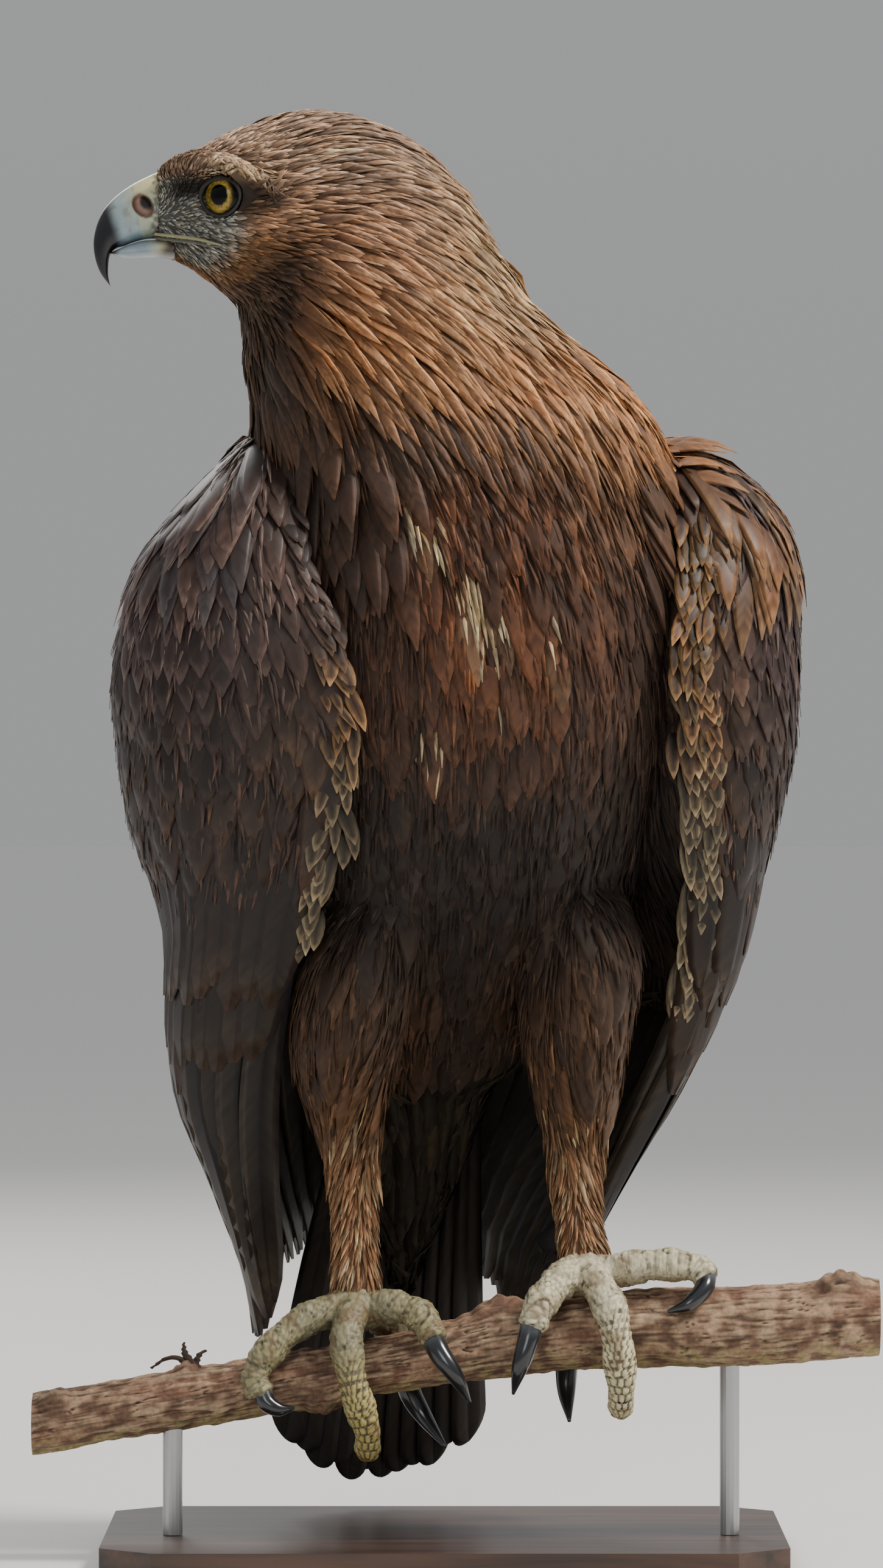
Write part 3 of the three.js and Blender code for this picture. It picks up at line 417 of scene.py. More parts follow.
def move_points(mesh, points):
    mesh.vertices.foreach_set("co", ((points + TO_MODEL) * MM).astype(np.float32).ravel())


def vectors_of(mesh, kind):
    values = np.empty(len(mesh.vertices) * 3, np.float32)
    mesh.vertices.foreach_get(kind, values)
    return values.reshape(-1, 3)


def points_of(mesh):
    return vectors_of(mesh, "co").astype(float) / MM - TO_MODEL


def paint_points(mesh, colours):
    layer = mesh.color_attributes.new(name="Coat", type="FLOAT_COLOR", domain="POINT")
    rgba = np.concatenate([np.clip(colours, 0, 1), np.ones((len(colours), 1))], 1)
    layer.data.foreach_set("color", rgba.astype(np.float32).ravel())


def new_mesh(name, points, faces, colours=None, maps=None):
    """A piece of the object from points in millimetres and a list of arrays of faces."""
    mesh = bpy.data.meshes.new(name)
    corners = np.concatenate([f.ravel() for f in faces]).astype(np.int32)
    sizes = np.concatenate([np.full(len(f), f.shape[1]) for f in faces])
    starts = np.concatenate([[0], np.cumsum(sizes)[:-1]]).astype(np.int32)
    mesh.vertices.add(len(points))
    move_points(mesh, points)
    mesh.loops.add(len(corners))
    mesh.loops.foreach_set("vertex_index", corners)
    mesh.polygons.add(len(sizes))
    mesh.polygons.foreach_set("loop_start", starts)
    mesh.polygons.foreach_set("use_smooth", np.ones(len(sizes), bool))
    mesh.update(calc_edges=True)
    mesh.validate()
    if colours is not None:
        paint_points(mesh, colours)
    for label, uv in (maps or {}).items():
        layer = mesh.uv_layers.new(name=label)
        layer.data.foreach_set("uv", uv[corners].astype(np.float32).ravel())
    return placed(name, mesh)


def placed(name, data, location=(0, 0, 0), turn=(0, 0, 0)):
    piece = bpy.data.objects.new(name, data)
    piece.location = location
    piece.rotation_euler = turn
    bpy.context.collection.objects.link(piece)
    return piece


def dress(piece, surface, slot, *nodes):
    """Gives a piece its material, and says what it rides on and which solids it stands for."""
    piece.data.materials.clear()
    piece.data.materials.append(surface)
    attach(piece, "root")
    if nodes:
        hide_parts(*nodes)


def grid_faces(rows, columns, start=0):
    """Faces of a closed tube of rings: quads round it, and a face over each end."""
    r, c = np.meshgrid(np.arange(rows - 1), np.arange(columns), indexing="ij")
    a = start + r * columns + c
    b = start + r * columns + (c + 1) % columns
    quads = np.stack([a, b, b + columns, a + columns], -1).reshape(-1, 4)
    ring = start + np.arange(columns)
    return [quads, ring[::-1][None], (ring + (rows - 1) * columns)[None]]


def joined(tubes):
    """Several closed tubes as one list of points and faces."""
    points, quads, ends, start = [], [], [], 0
    for tube in tubes:
        rows, columns = tube.shape[:2]
        body, low, high = grid_faces(rows, columns, start)
        points.append(tube.reshape(-1, 3))
        quads.append(body)
        ends += [low, high]
        start += rows * columns
    return np.concatenate(points), quads + ends


def tube_piece(name, tubes, colour, surface, slot, *nodes):
    """A piece made of closed tubes, in one colour code or a colour for each point."""
    points, faces = joined(tubes)
    if isinstance(colour, str):
        colour = np.tile(ink(colour), (len(points), 1))
    dress(new_mesh(name, points, faces, colour), surface, slot, *nodes)


def level_tube(rows, inset, sides=72):
    """A body of turned ellipses, made smaller all round."""
    rows = np.asarray(rows, float)
    levels = np.arange(rows[0, 0], rows[-1, 0] + LEVEL_STEP, LEVEL_STEP)
    at = table_at(rows, np.minimum(levels, rows[-1, 0]))
    angle = turns(sides)
    ex = np.maximum(at[:, 3] - inset, 1.0)[:, None] * np.cos(angle)
    ey = np.maximum(at[:, 4] - inset, 1.0)[:, None] * np.sin(angle)
    turn = np.radians(at[:, 5])[:, None]
    x = at[:, 1:2] + ex * np.cos(turn) - ey * np.sin(turn)
    y = at[:, 2:3] + ex * np.sin(turn) + ey * np.cos(turn)
    return stacked(x, y, at[:, 0:1])


def head_tube(inset, sides=72, count=70, square=0.92):
    at = curve_through(HEAD_ROWS, count)
    around = np.stack([np.sin(turns(sides)), np.cos(turns(sides))])
    across, up = np.sign(around) * np.abs(around) ** square
    y = HEAD_Y + np.maximum(at[:, 3:4] - inset, 1) * across
    z = at[:, 1:2] + np.maximum(at[:, 2:3] - inset, 1) * up
    return stacked(at[:, 0:1], y, z)


def round_tube(rows, sides, count, inset=0.0):
    """A tube through rows of x, y, z, radius, with rings that don't twist."""
    at = curve_through(rows, count)
    along = unit(np.gradient(at[:, :3], axis=0))
    side = np.array([0.0, 0.0, 1.0]) if abs(along[0, 2]) < 0.9 else np.array([0.0, 1.0, 0.0])
    asides = []
    for step in along:
        side = side - step * side.dot(step)
        side = side / np.linalg.norm(side)
        asides.append(side)
    asides = np.array(asides)[:, None]
    ups = np.cross(along[:, None], asides)
    angle = turns(sides)[None, :, None]
    radius = np.maximum(at[:, 3:4] - inset, 0.05)[..., None]
    return at[:, None, :3] + radius * (asides * np.cos(angle) + ups * np.sin(angle))


def fused(name, tubes, voxel, softer):
    """One closed skin round several closed bodies."""
    piece = new_mesh(name, *joined(tubes))
    remesh = piece.modifiers.new("Fuse", "REMESH")
    remesh.mode = "VOXEL"
    remesh.voxel_size = voxel * MM
    remesh.use_smooth_shade = True
    soften = piece.modifiers.new("Soften", "SMOOTH")
    soften.iterations = softer
    bpy.context.view_layer.update()
    done = piece.evaluated_get(bpy.context.evaluated_depsgraph_get())
    made = bpy.data.meshes.new_from_object(done)
    piece.modifiers.clear()
    piece.data = made
    return piece


# Materials

def material(name, roughness, **sockets):
    """A new material, its node tree and its shader, with the shader's sockets set."""
    made = bpy.data.materials.new(name)
    made.use_nodes = True
    shader = made.node_tree.nodes["Principled BSDF"]
    shader.inputs["Roughness"].default_value = roughness
    for socket, value in sockets.items():
        shader.inputs[socket.replace("_", " ").title().replace("Ior", "IOR")].default_value = value
    return made, made.node_tree, shader


def node(tree, kind, inputs, **settings):
    """A shader node's outputs. inputs holds a value or another node's output for each socket."""
    made = tree.nodes.new(kind)
    for key, value in settings.items():
        setattr(made, key, value)
    for key, value in inputs.items():
        if isinstance(value, bpy.types.NodeSocket):
            tree.links.new(value, made.inputs[key])
        else:
            made.inputs[key].default_value = value
    return made.outputs


def multiplied(tree, colour, value, low, high, least, most):
    """The colour times a value, whose span from low to high becomes least to most."""
    span = {"Value": value, "From Min": low, "From Max": high, "To Min": least, "To Max": most}
    factor = node(tree, "ShaderNodeMapRange", span)["Result"]
    sockets = {"Factor": 1.0, 6: colour, 7: factor}
    return node(tree, "ShaderNodeMix", sockets, data_type="RGBA", blend_type="MULTIPLY")[2]


def speckled(tree, colour, scale, least, most):
    """The colour made lighter and darker by noise. Also gives the noise."""
    where = node(tree, "ShaderNodeTexCoord", {})["Object"]
    speck = node(tree, "ShaderNodeTexNoise", {"Vector": where, "Scale": scale, "Detail": 4.0})["Fac"]
    return multiplied(tree, colour, speck, 0.3, 0.7, least, most), speck


def finished(tree, shader, colour, height, strength, distance):
    """Gives the shader its colour and its bump."""
    sockets = {"Height": height, "Strength": strength, "Distance": distance}
    tree.links.new(node(tree, "ShaderNodeBump", sockets)["Normal"], shader.inputs["Normal"])
    tree.links.new(colour, shader.inputs["Base Color"])


def paint_of(tree):
    return node(tree, "ShaderNodeVertexColor", {}, layer_name="Coat")["Color"]


def feather_material(name, period, sheen, tint, roughness):
    """Feathers: painted colour with fine barbs that slant off the shaft."""
    made, tree, shader = material(
        name, roughness, specular_ior_level=0.3, sheen_weight=sheen, sheen_roughness=0.45,
        sheen_tint=(*ink(tint), 1))
    vane = node(tree, "ShaderNodeUVMap", {}, uv_map="Vane")["UV"]
    split = node(tree, "ShaderNodeSeparateXYZ", {0: vane})
    away = node(tree, "ShaderNodeMath", {0: split["X"]}, operation="ABSOLUTE")[0]
    steps = {0: away, 1: -1.25, 2: split["Y"]}
    slant = node(tree, "ShaderNodeMath", steps, operation="MULTIPLY_ADD")[0]
    line = node(tree, "ShaderNodeCombineXYZ", {"X": slant, "Y": split["X"]})[0]
    stretch = {"Vector": line, "Scale": (1 / period, 0.14 / period, 1)}
    line = node(tree, "ShaderNodeMapping", stretch)[0]
    barbs = node(tree, "ShaderNodeTexNoise", {"Vector": line, "Scale": 1.0, "Detail": 2.0})["Fac"]
    colour = multiplied(tree, paint_of(tree), barbs, 0.32, 0.68, 0.68, 1.26)
    colour, _ = speckled(tree, colour, 120.0, 0.86, 1.14)
    finished(tree, shader, colour, barbs, 0.35, 0.0003)
    return made


def painted_material(name, roughness, scale, low, high, bump, distance=0.0003, **sockets):
    """A painted surface with fine mottling and bump of one scale."""
    made, tree, shader = material(name, roughness, **sockets)
    colour, speck = speckled(tree, paint_of(tree), scale, low, high)
    finished(tree, shader, colour, speck, bump, distance)
    return made


def grained_material(name, roughness, stretch, grain, ramp, bump, distance, **sockets):
    """A finish with its grain along one axis, coloured by a ramp of two places and colours."""
    made, tree, shader = material(name, roughness, **sockets)
    where = node(tree, "ShaderNodeTexCoord", {})["Object"]
    where = node(tree, "ShaderNodeMapping", {"Vector": where, "Scale": stretch})[0]
    lines = node(tree, "ShaderNodeTexNoise", {"Vector": where, **grain})["Fac"]
    shades = ramp_of(tree, lines, *ramp)
    finished(tree, shader, shades, lines, bump, distance)
    return made


def ramp_of(tree, value, *stops):
    shades = node(tree, "ShaderNodeValToRGB", {"Fac": value})["Color"]
    for element, (place, colour) in zip(shades.node.color_ramp.elements, stops):
        element.position = place
        element.color = (*colour, 1)
    return shades


SOFT = feather_material("soft_feather", 0.45, 0.12, "a08c84", 0.62)
SMALL = feather_material("small_feather", 0.3, 0.1, "b59a80", 0.6)
STIFF = feather_material("stiff_feather", 0.55, 0.08, "8c86a0", 0.48)
DOWN = painted_material("down", 0.85, 260.0, 0.75, 1.2, 0.5, 0.0005)
HORN = painted_material("bill_horn", 0.3, 160.0, 0.86, 1.1, 0.12, coat_weight=0.25, coat_roughness=0.15)
CERE = painted_material("cere_skin", 0.42, 420.0, 0.9, 1.07, 0.25)
LIDS = painted_material("lid_skin", 0.5, 700.0, 0.7, 1.25, 0.5)
CLAW = painted_material("claw_horn", 0.22, 90.0, 0.7, 1.5, 0.15, coat_weight=0.5, coat_roughness=0.1)
SCALES = painted_material("scaled_skin", 0.55, 380.0, 0.84, 1.14, 0.35)
EYES = painted_material("eye", 0.07, 900.0, 0.8, 1.25, 0.0, 0.0001, specular_ior_level=0.2)
BARK = painted_material("bark", 0.88, 480.0, 0.72, 1.28, 0.6, 0.0006)


# The coat: how it is coloured, which way it lies, and how its feathers are made

def plumage(p):
    """Colours at points: of the feathers themselves, and of their tips and edges."""
    x, y, z = p.T
    out, back, _ = to_body(p).T
    side = np.abs(y - HEAD_Y)
    base, tip = (np.tile(ink(code), (len(p), 1)) for code in ("2a1d16", "4a3527"))

    def lay(share, base_code, tip_code):
        nonlocal base, tip
        base, tip = mix(base, ink(base_code), share), mix(tip, ink(tip_code), share)

    # the body: a dark belly whose brown is deepened as painted shade, a streaked rufous breast, painted
    # sunlight as warm brown on the left shoulder, and a warmer right shoulder and back
    # painted shade: the belly's own dark brown made near-black
    lay(smooth(400, 320, z) * smooth(50, 0, back), "1a1310", "2e2219")
    breast = smooth(520, 470, z) * smooth(340, 410, z) * smooth(0, -45, back)
    streak = 0.5 + 0.5 * np.sin(out * 0.16 + 1.5 * np.sin(z * 0.045) + 0.6 * np.sin(out * 0.05))
    lay(breast * smooth(75, 20, np.abs(out + 5)) * (0.35 + 0.65 * streak), "3d2416", "7a4a2c")
    # painted sunlight: warm light brown on the left shoulder and upper breast
    lay(smooth(430, 500, z) * smooth(5, 55, out) * smooth(60, 0, back), "49301f", "8a6142")
    lay(smooth(430, 520, z) * smooth(-20, 50, back), "3c2a20", "6d5341")
    lay(smooth(475, 530, z) * smooth(60, -20, out), "3a271d", "6a4c36")
    # the golden neck, paler up to the crown and down the nape
    gold = smooth(508, 548, z + 0.22 * (x + 40)) * smooth(-94, -68, x + 0.35 * (560 - z))
    lay(gold, "62391f", "d19663")
    lay(smooth(562, 600, z), "563626", "cf9f79")
    lay(smooth(606, 636, z + 0.12 * (x + 80)), "4f372a", "cfab8d")
    lay(smooth(-40, 10, x) * smooth(540, 585, z), "74502f", "efcb9c")
    # the face: cheek, dark throat, grey lores, painted shadow under the brow before and over the eye,
    # and a dark line behind it
    cheek = smooth(612, 596, z + 0.1 * (x + 100)) * smooth(572, 584, z) * smooth(-70, -92, x)
    lay(cheek, "50331f", "94693f")
    throat = smooth(590, 568, z - 0.55 * (x + 118)) * smooth(-70, -90, x)
    lay(throat * smooth(500, 530, z), "291c15", "5c4432")
    lores = smooth(29, 16, np.hypot(x + 132, 0.9 * (z - 612))) * smooth(6, 11, side)
    lay(lores, "4d4c47", "b3b0a2")
    # painted shadow that the overhanging brow casts before and over the eye
    brow_shadow = smooth(7, 2, np.abs(z - 624.6 - 0.12 * (x + 125)))
    brow_shadow = brow_shadow * smooth(-145, -138, x) * smooth(-112, -122, x)
    lay(brow_shadow * smooth(8, 12, side), "15120f", "3a3530")
    front_brow = smooth(9, 5, np.abs(z - 635)) * smooth(-118, -128, x) * smooth(8, 14, side)
    lay(front_brow * 0.8, "3d281d", "9a7150")
    brow = smooth(6.5, 3.0, np.abs(z - 631.6 + 0.016 * (x + 118) ** 2))
    brow = brow * smooth(-130, -122, x) * smooth(-90, -102, x)
    lay(brow * smooth(12, 22, side) * 0.78, "6f4f37", "e0c096")
    rear_eye = smooth(13, 5, np.hypot((x + 102) * 0.75, z - 618)) * smooth(20, 28, side)
    lay(rear_eye * 0.85, "1f1610", "4a3324")
    # the legs, paler to the feet, and the dark feathers under the tail
    legs_x = np.minimum(np.abs(x + 60), np.abs(x - 43)) * 1.3
    leg = smooth(318, 190, z) * smooth(70, 40, np.hypot(legs_x, y - 8))
    lay(leg, "3c2719", "6d4d33")
    lay(smooth(225, 150, z) * leg, "6d4128", "b38a63")
    lay(smooth(300, 240, z) * smooth(48, 66, y), "1f1a11", "3a321f")
    return base, tip


def paleness(p):
    """How likely a body feather is to be a pale one, and the same for streaks on the legs."""
    x, y, z = p.T
    breast = sum(np.exp(-((x - px + 0.3 * (z - pz)) / wide) ** 2 - ((z - pz) / high) ** 2)
                 for px, pz, wide, high in PALE_SPOTS) * smooth(-20, -50, to_body(p)[:, 1])
    legs = 0.2 * smooth(235, 200, z) * smooth(30, 10, y)
    return np.clip(1.5 * breast, 0, 0.95) + legs


def lie(p):
    """Which way the feathers point, before they are laid on the skin."""
    away = p - BILL_BASE
    share = np.clip(1.25 - np.linalg.norm(away, axis=-1) / 250, 0, 1)
    out, _, z = to_body(p).T
    spread = unit(stacked(0.25 * out / 100, 0.1, -1))
    low = mix(np.array([0.0, 0.0, -1.0]), spread, smooth(520, 440, z))
    shoulder = smooth(462, 500, z) * smooth(52, 84, np.abs(out))
    low = low + shoulder[:, None] * stacked(np.sign(out) * 0.55, 0.3, 0)
    return unit(mix(low, unit(away), share))


# Half widths of feathers from root to tip, and places across them
LANCE = [0.35, 0.8, 1.0, 0.82, 0.12]
NARROW = [0.5, 1.0, 0.8, 0.08]
SPEAR = [0.4, 0.95, 0.9, 0.55, 0.04]
PLUME = [0.5, 0.9, 1.0, 0.9, 0.6, 0.06]
BROAD = [0.5, 0.85, 1, 1, 0.97, 0.88, 0.66, 0.16]
BLUNT = [0.6, 0.95, 1, 1, 1, 0.95, 0.8, 0.2]
COLUMNS = {
    3: np.array([-1.0, 0, 1]), 5: np.array([-1, -0.55, 0, 0.55, 1]),
    7: np.array([-1, -0.6, -0.1, 0, 0.1, 0.6, 1]),
}


def vane_faces(count, rows, columns):
    """Faces of many closed vanes, each a thin ring of points in every row."""
    ring = 2 * (columns - 1)
    body, _, _ = grid_faces(rows, ring)
    under = [0, *range(ring - 1, columns - 1, -1), columns - 1]
    caps = {3: [], 4: []}
    for i in range(columns - 1):
        face = list(dict.fromkeys([i, i + 1, under[i + 1], under[i]]))
        caps[len(face)].append(face)
    shift = (np.arange(count) * rows * ring)[:, None, None]
    faces = [(body[None] + shift).reshape(-1, 4)]
    for size in (4, 3):
        if caps[size]:
            end = np.array(caps[size])
            both = np.concatenate([end[:, ::-1], end + (rows - 1) * ring])
            faces.append((both[None] + shift).reshape(-1, size))
    return faces


def vane_rings(grid, normal, wide, looks):
    """The points of each feather row by row: its top face raised off the skin, then its under one."""
    rows, columns = grid.shape[1:3]
    c, s = COLUMNS[columns], np.linspace(0, 1, rows)
    lift, roll = (np.broadcast_to(looks[key], len(grid)) for key in ("lift", "roll"))
    climb = np.minimum(1, s / looks.get("quick", 0.9)) ** 0.9
    rise = looks["sunk"] + (lift[:, None] - looks["sunk"]) * climb
    crown = looks.get("crown", 0.22) * wide * (1 - c ** 2)
    height = rise[:, :, None] + crown + roll[:, None, None] * wide * c
    height = height + looks.get("shaft", 0) * (np.abs(c) < 0.05)
    top = grid + normal * height[..., None]
    body = looks["thick"] * (1 - c[1:-1] ** 2)[::-1] * (1 - 0.5 * s[:, None])
    under = top[:, :, -2:0:-1] - normal[:, :, -2:0:-1] * body[None, :, :, None]
    return np.concatenate([top, under], 2)


def vane_colours(across, s, colours, looks):
    """The colour of each point: darker at the root and the stem, and edged towards the tip."""
    base, tip, edge = (c[:, None, None] for c in colours)
    colour = mix(base, tip, (s ** 1.6)[None, :, None] * np.ones(len(across)))
    rim = (np.abs(across) ** 3)[None, None] * (0.25 + 0.75 * s)[None, :, None]
    end = smooth(0.78, 1.0, s)[None, :, None]
    share = np.clip(np.maximum(rim, end) * looks.get("edging", 0.6), 0, 1)
    colour = mix(colour, edge, share)
    stem = (np.abs(across) < 0.05)[None, None] * looks.get("stem", 0.18)
    return colour * (1 - stem)[..., None] * (0.62 + 0.38 * smooth(0.0, 0.45, s))[None, :, None, None]


def lay_vanes(name, grid, normal, half, length, colours, place, looks, finish):
    """Makes feathers from rows and columns of points on a surface.

    grid is feathers x rows x columns x 3, and normal is the surface's there. half and length
    are in millimetres. place is each root's spot on an unwrap of the skin, from 0 to 1.
    """
    count, rows, columns = grid.shape[:3]
    c, s = COLUMNS[columns], np.linspace(0, 1, rows)
    half, length = (np.broadcast_to(v, count)[:, None, None] for v in (half, length))
    wide = half * np.array(looks["shape"])[None, :, None]
    ring = vane_rings(grid, normal, wide, looks)
    across = np.concatenate([c, c[-2:0:-1]])
    colour = vane_colours(across, s, colours, looks)
    down = s[None, :, None]
    vane = stacked(across * wide * 0.1,
                   down * length * 0.1 + dice.uniform(0, 50, count)[:, None, None])
    patch = np.broadcast_to(looks.get("patch", 0.003), 2)
    place = place[:, :, None, None]
    bake = stacked(place[:, 0] + across * 0.5 * patch[0], place[:, 1] + (down - 0.5) * patch[1])
    triangles = 2 * rows * len(across) - 4
    chunks = math.ceil(count * triangles / MOST_TRIANGLES)
    for k in range(chunks):
        part = slice(k * count // chunks, (k + 1) * count // chunks)
        dress(new_mesh(
            f"{name}_{k + 1}" if chunks > 1 else name, ring[part].reshape(-1, 3),
            vane_faces(part.stop - part.start, rows, columns), colour[part].reshape(-1, 3),
            {"OFBake": bake[part].reshape(-1, 2), "Vane": vane[part].reshape(-1, 2)},
        ), *finish)


def unwrap(points):
    """A spot for each point on an unwrap of the whole skin: round it, and up it."""
    middle = table_at(BODY_ROWS, np.clip(points[:, 2], 212, 600))
    turn = np.arctan2(points[:, 1] - middle[:, 2], points[:, 0] - middle[:, 1])
    around = 0.02 + 0.96 * (turn / (2 * np.pi) + 0.5)
    return stacked(around, 0.02 + 0.96 * (points[:, 2] - 90) / 570)


class Hide:
    """The skin as something to lay feathers on."""

    def __init__(self, mesh):
        points = points_of(mesh)
        faces = [tuple(f.vertices) for f in mesh.polygons]
        normals = vectors_of(mesh, "normal")
        self.tree = BVHTree.FromPolygons([Vector(v) for v in points], faces)
        self.normals = unit(np.array([normals[list(f)].mean(0) for f in faces]))
        self.centres = np.array([points[list(f)].mean(0) for f in faces])
        self.areas = np.array([f.area for f in mesh.polygons]) / MM ** 2

    def nearest(self, where):
        found = [self.tree.find_nearest(Vector(w)) for w in where]
        return np.array([f[0] for f in found]), self.normals[[f[2] for f in found]]

    def scatter(self, chance, spacing):
        """Places on the skin at least spacing apart. chance is a number for each of its faces."""
        weight = self.areas * chance
        total = weight.sum()
        count = int(total / spacing ** 2 * TRIES)
        pick = dice.choice(len(weight), count, p=weight / total)
        spots = self.centres[pick] + dice.normal(0, 0.9, (count, 3))
        cells, kept = {}, []
        for i, spot in enumerate(spots):
            x, y, z = (int(v) for v in spot // spacing)
            around = (cells.get((x + dx, y + dy, z + dz), ()) for dx, dy, dz in NEIGHBOURS)
            if all(((spots[j] - spot) ** 2).sum() > spacing ** 2 for cell in around for j in cell):
                cells.setdefault((x, y, z), []).append(i)
                kept.append(i)
        return spots[kept]

    def trace(self, roots, lengths, rows, turn):
        """Spines that run over the skin from their roots, and the skin's normals there."""
        at, normal = self.nearest(roots)
        spine, normals = [at], [normal]
        heading = lie(at)
        swing = np.cross(normal, heading)
        heading = heading * np.cos(turn)[:, None] + swing * np.sin(turn)[:, None]
        for _ in range(rows - 1):
            flow = mix(heading, lie(at), 0.35)
            heading = unit(flow - normal * (flow * normal).sum(-1, keepdims=True))
            at, fresh = self.nearest(at + heading * (lengths / (rows - 1))[:, None])
            normal = unit(mix(normal, fresh, 0.6))
            spine.append(at)
            normals.append(normal)
        return np.stack(spine, 1), np.stack(normals, 1)

    def grow(self, name, chance, spacing, length, half, shape, columns, lift, finish,
             stray=0.12, shade=0.17, pale=0.0, twist=0.12, **looks):
        """Feathers scattered over the skin. length and half are numbers or functions of place."""
        roots = self.scatter(chance, spacing)
        roots = roots[np.argsort(-roots[:, 2])]
        n = len(roots)
        length, half = (v(roots) if callable(v) else v for v in (length, half))
        length = length * dice.uniform(0.82, 1.15, n)
        half = half * dice.uniform(0.85, 1.15, n)
        spine, normal = self.trace(roots, length, len(shape), dice.normal(0, stray, n))
        side = unit(np.cross(unit(np.gradient(spine, axis=1)), normal))
        wide = half[:, None] * np.array(shape)
        spread = (wide[:, :, None] * COLUMNS[columns])[..., None]
        grid = spine[:, :, None] + side[:, :, None] * spread
        base, tip = plumage(spine[:, len(shape) // 2])
        shades = np.exp(dice.normal(0, shade, n))[:, None]
        warm = 1 + dice.normal(0, 0.05, (n, 1)) * np.array([1, 0.2, -1])
        pale = (dice.uniform(0, 1, n) < paleness(roots)) * pale
        base, tip = mix(base, ink("86694a"), pale), mix(tip, ink("ddc79c"), pale)
        colours = [c * shades * warm for c in (base, mix(base, tip, 0.55), tip)]
        looks = {
            "shape": shape, "sunk": -1.0, "roll": dice.normal(0, twist, n), "thick": 0.35,
            "lift": lift * dice.uniform(0.6, 1.35, n), **looks,
        }
        normal = np.broadcast_to(normal[:, :, None], grid.shape)
        lay_vanes(name, grid, normal, half, length, colours, unwrap(roots), looks, finish)


# The skin, one piece under all the feathers

def wing_arm(side):
    """The folded arm as a closed tube of level rings, from its foot to the shoulder."""
    along, across = np.meshgrid(np.arange(252, 513, 4.0), np.linspace(0.02, 0.98, 40), indexing="ij")
    outer, normal, _ = wing_surface(side, along, across)
    inner = wing_inner(side, along, across)[:, ::-1]
    ring = np.concatenate([outer - normal * INSET["wing"], inner], 1)
    return ring if side < 0 else ring[:, ::-1]


def brow_tube(side):
    rows = [[x, HEAD_Y + side * (y + 1.7), z - 2.0, r] for x, y, z, r in BROW_ROWS]
    return round_tube(rows, 24, 40, -0.2)


def tail_root():
    rows = []
    for z, out, back, a, b in TAIL_CORE:
        x, y, _ = from_body(1, out, back, z)
        rows.append([z, x, y, a, b, TURN_DEGREES])
    return level_tube(rows, INSET["tail"], 48)


def eye_middle(side):
    return np.array([EYE["x"], HEAD_Y + side * EYE["side"], EYE["z"]])


def lid_look(side):
    return unit(LID["look"] * [1, side, 1])


def sink_sockets(mesh):
    """Makes a cup in the head for each eye, inside the ring of its lids."""
    points = points_of(mesh)
    for side in SIDES.values():
        look = lid_look(side)
        rel = points - eye_middle(side)
        depth = rel @ look
        off = np.linalg.norm(rel - depth[:, None] * look, axis=1)
        share = smooth(12.5, 9.2, off) * (depth > -2)
        points += (share * (np.minimum(depth, SOCKET_FLOOR) - depth))[:, None] * look
    move_points(mesh, points)
    mesh.update()


skin = fused("skin", [
    level_tube(BODY_ROWS, INSET["body"]), head_tube(INSET["head"]), round_tube(NAPE_ROWS, 48, 40),
    *(brow_tube(side) for side in SIDES.values()),
    *(level_tube(rows, INSET["leg"], 48) for rows in THIGH_ROWS.values()),
    *(level_tube(rows, INSET["leg"], 40) for rows in SHANK_ROWS.values()),
    tail_root(), *(wing_arm(side) for side in SIDES.values()),
], voxel=2.3, softer=3)
sink_sockets(skin.data)
hide = Hide(skin.data)
# the skin takes the feathers' colours, darkened as painted shade where it shows in the gaps between
# them
paint_points(skin.data, mix(*plumage(points_of(skin.data)), 0.15) * 0.6)
dress(skin, DOWN, "plumage_brown", "head", "neck", "torso", "thigh_right", "thigh_left",
      "shank_right", "shank_left")


# Feathers of the head, neck, body and legs

def off_wings(p):
    """Nought at points close under a wing's outer face, where its own feathers lie."""
    along, across = np.meshgrid(np.arange(100, 500, 7.0), np.linspace(0, 1, 36), indexing="ij")
    cloud = []
    for side in SIDES.values():
        point, normal, _ = wing_surface(side, along, across)
        cloud += list((point - normal * INSET["wing"]).reshape(-1, 3))
    tree = KDTree(len(cloud))
    for i, spot in enumerate(cloud):
        tree.insert(spot, i)
    tree.balance()
    return smooth(5, 9, np.array([tree.find(spot)[2] for spot in p]))


def regions(p):
    """How likely feathers of each sort are to grow at points of the skin."""
    x, y, z = p.T
    out, back, _ = to_body(p).T
    free = off_wings(p)
    front = x + 0.35 * (565 - z)
    slope = 0.45 * np.minimum(x + 60, 0)
    eye_gap = np.hypot(x - EYE["x"], (z - EYE["z"]) * 0.95)
    lids = np.where(np.abs(y - HEAD_Y) > 16, smooth(9.0, 10.5, eye_gap), 1)
    off_eye = np.where(np.hypot(x - EYE["x"], z - EYE["z"]) < 10.0, 0, 1)
    shoulder = smooth(54, 62, np.abs(out)) * smooth(94, 88, np.abs(out)) * (back < 0)
    on_leg = np.minimum(np.hypot(x + 60, y - 5), np.hypot(x - 43, y - 14)) < 46
    return {
        "face": smooth(-92, -112, x) * smooth(566, 578, z) * lids * (x > -151),
        "crown": smooth(-112, -94, x) * smooth(590 - slope - 24, 590 - slope - 6, z) * off_eye,
        "throat": smooth(488, 515, z) * smooth(592, 574, z) * smooth(-80, -92, front),
        "neck": smooth(508, 520, z) * smooth(592 - slope + 12, 592 - slope - 6, z)
        * smooth(-97, -86, front),
        "nape": smooth(-60, -35, x) * smooth(508, 522, z) * smooth(640, 626, z),
        "body": smooth(528, 514, z) * smooth(236, 250, z) * np.maximum(free, z > 496),
        "shoulder": smooth(462, 474, z) * smooth(522, 510, z) * shoulder,
        "thigh": (z > 182) * (z < 322) * on_leg * free * (y < 52),
        "shank": (z > 116) * (z < 196) * on_leg * free * (y < 52),
        "tail": (z < 262) * (y > 50) * free,
    }


def from_bill(p):
    return np.linalg.norm(p - BILL_BASE, axis=1)


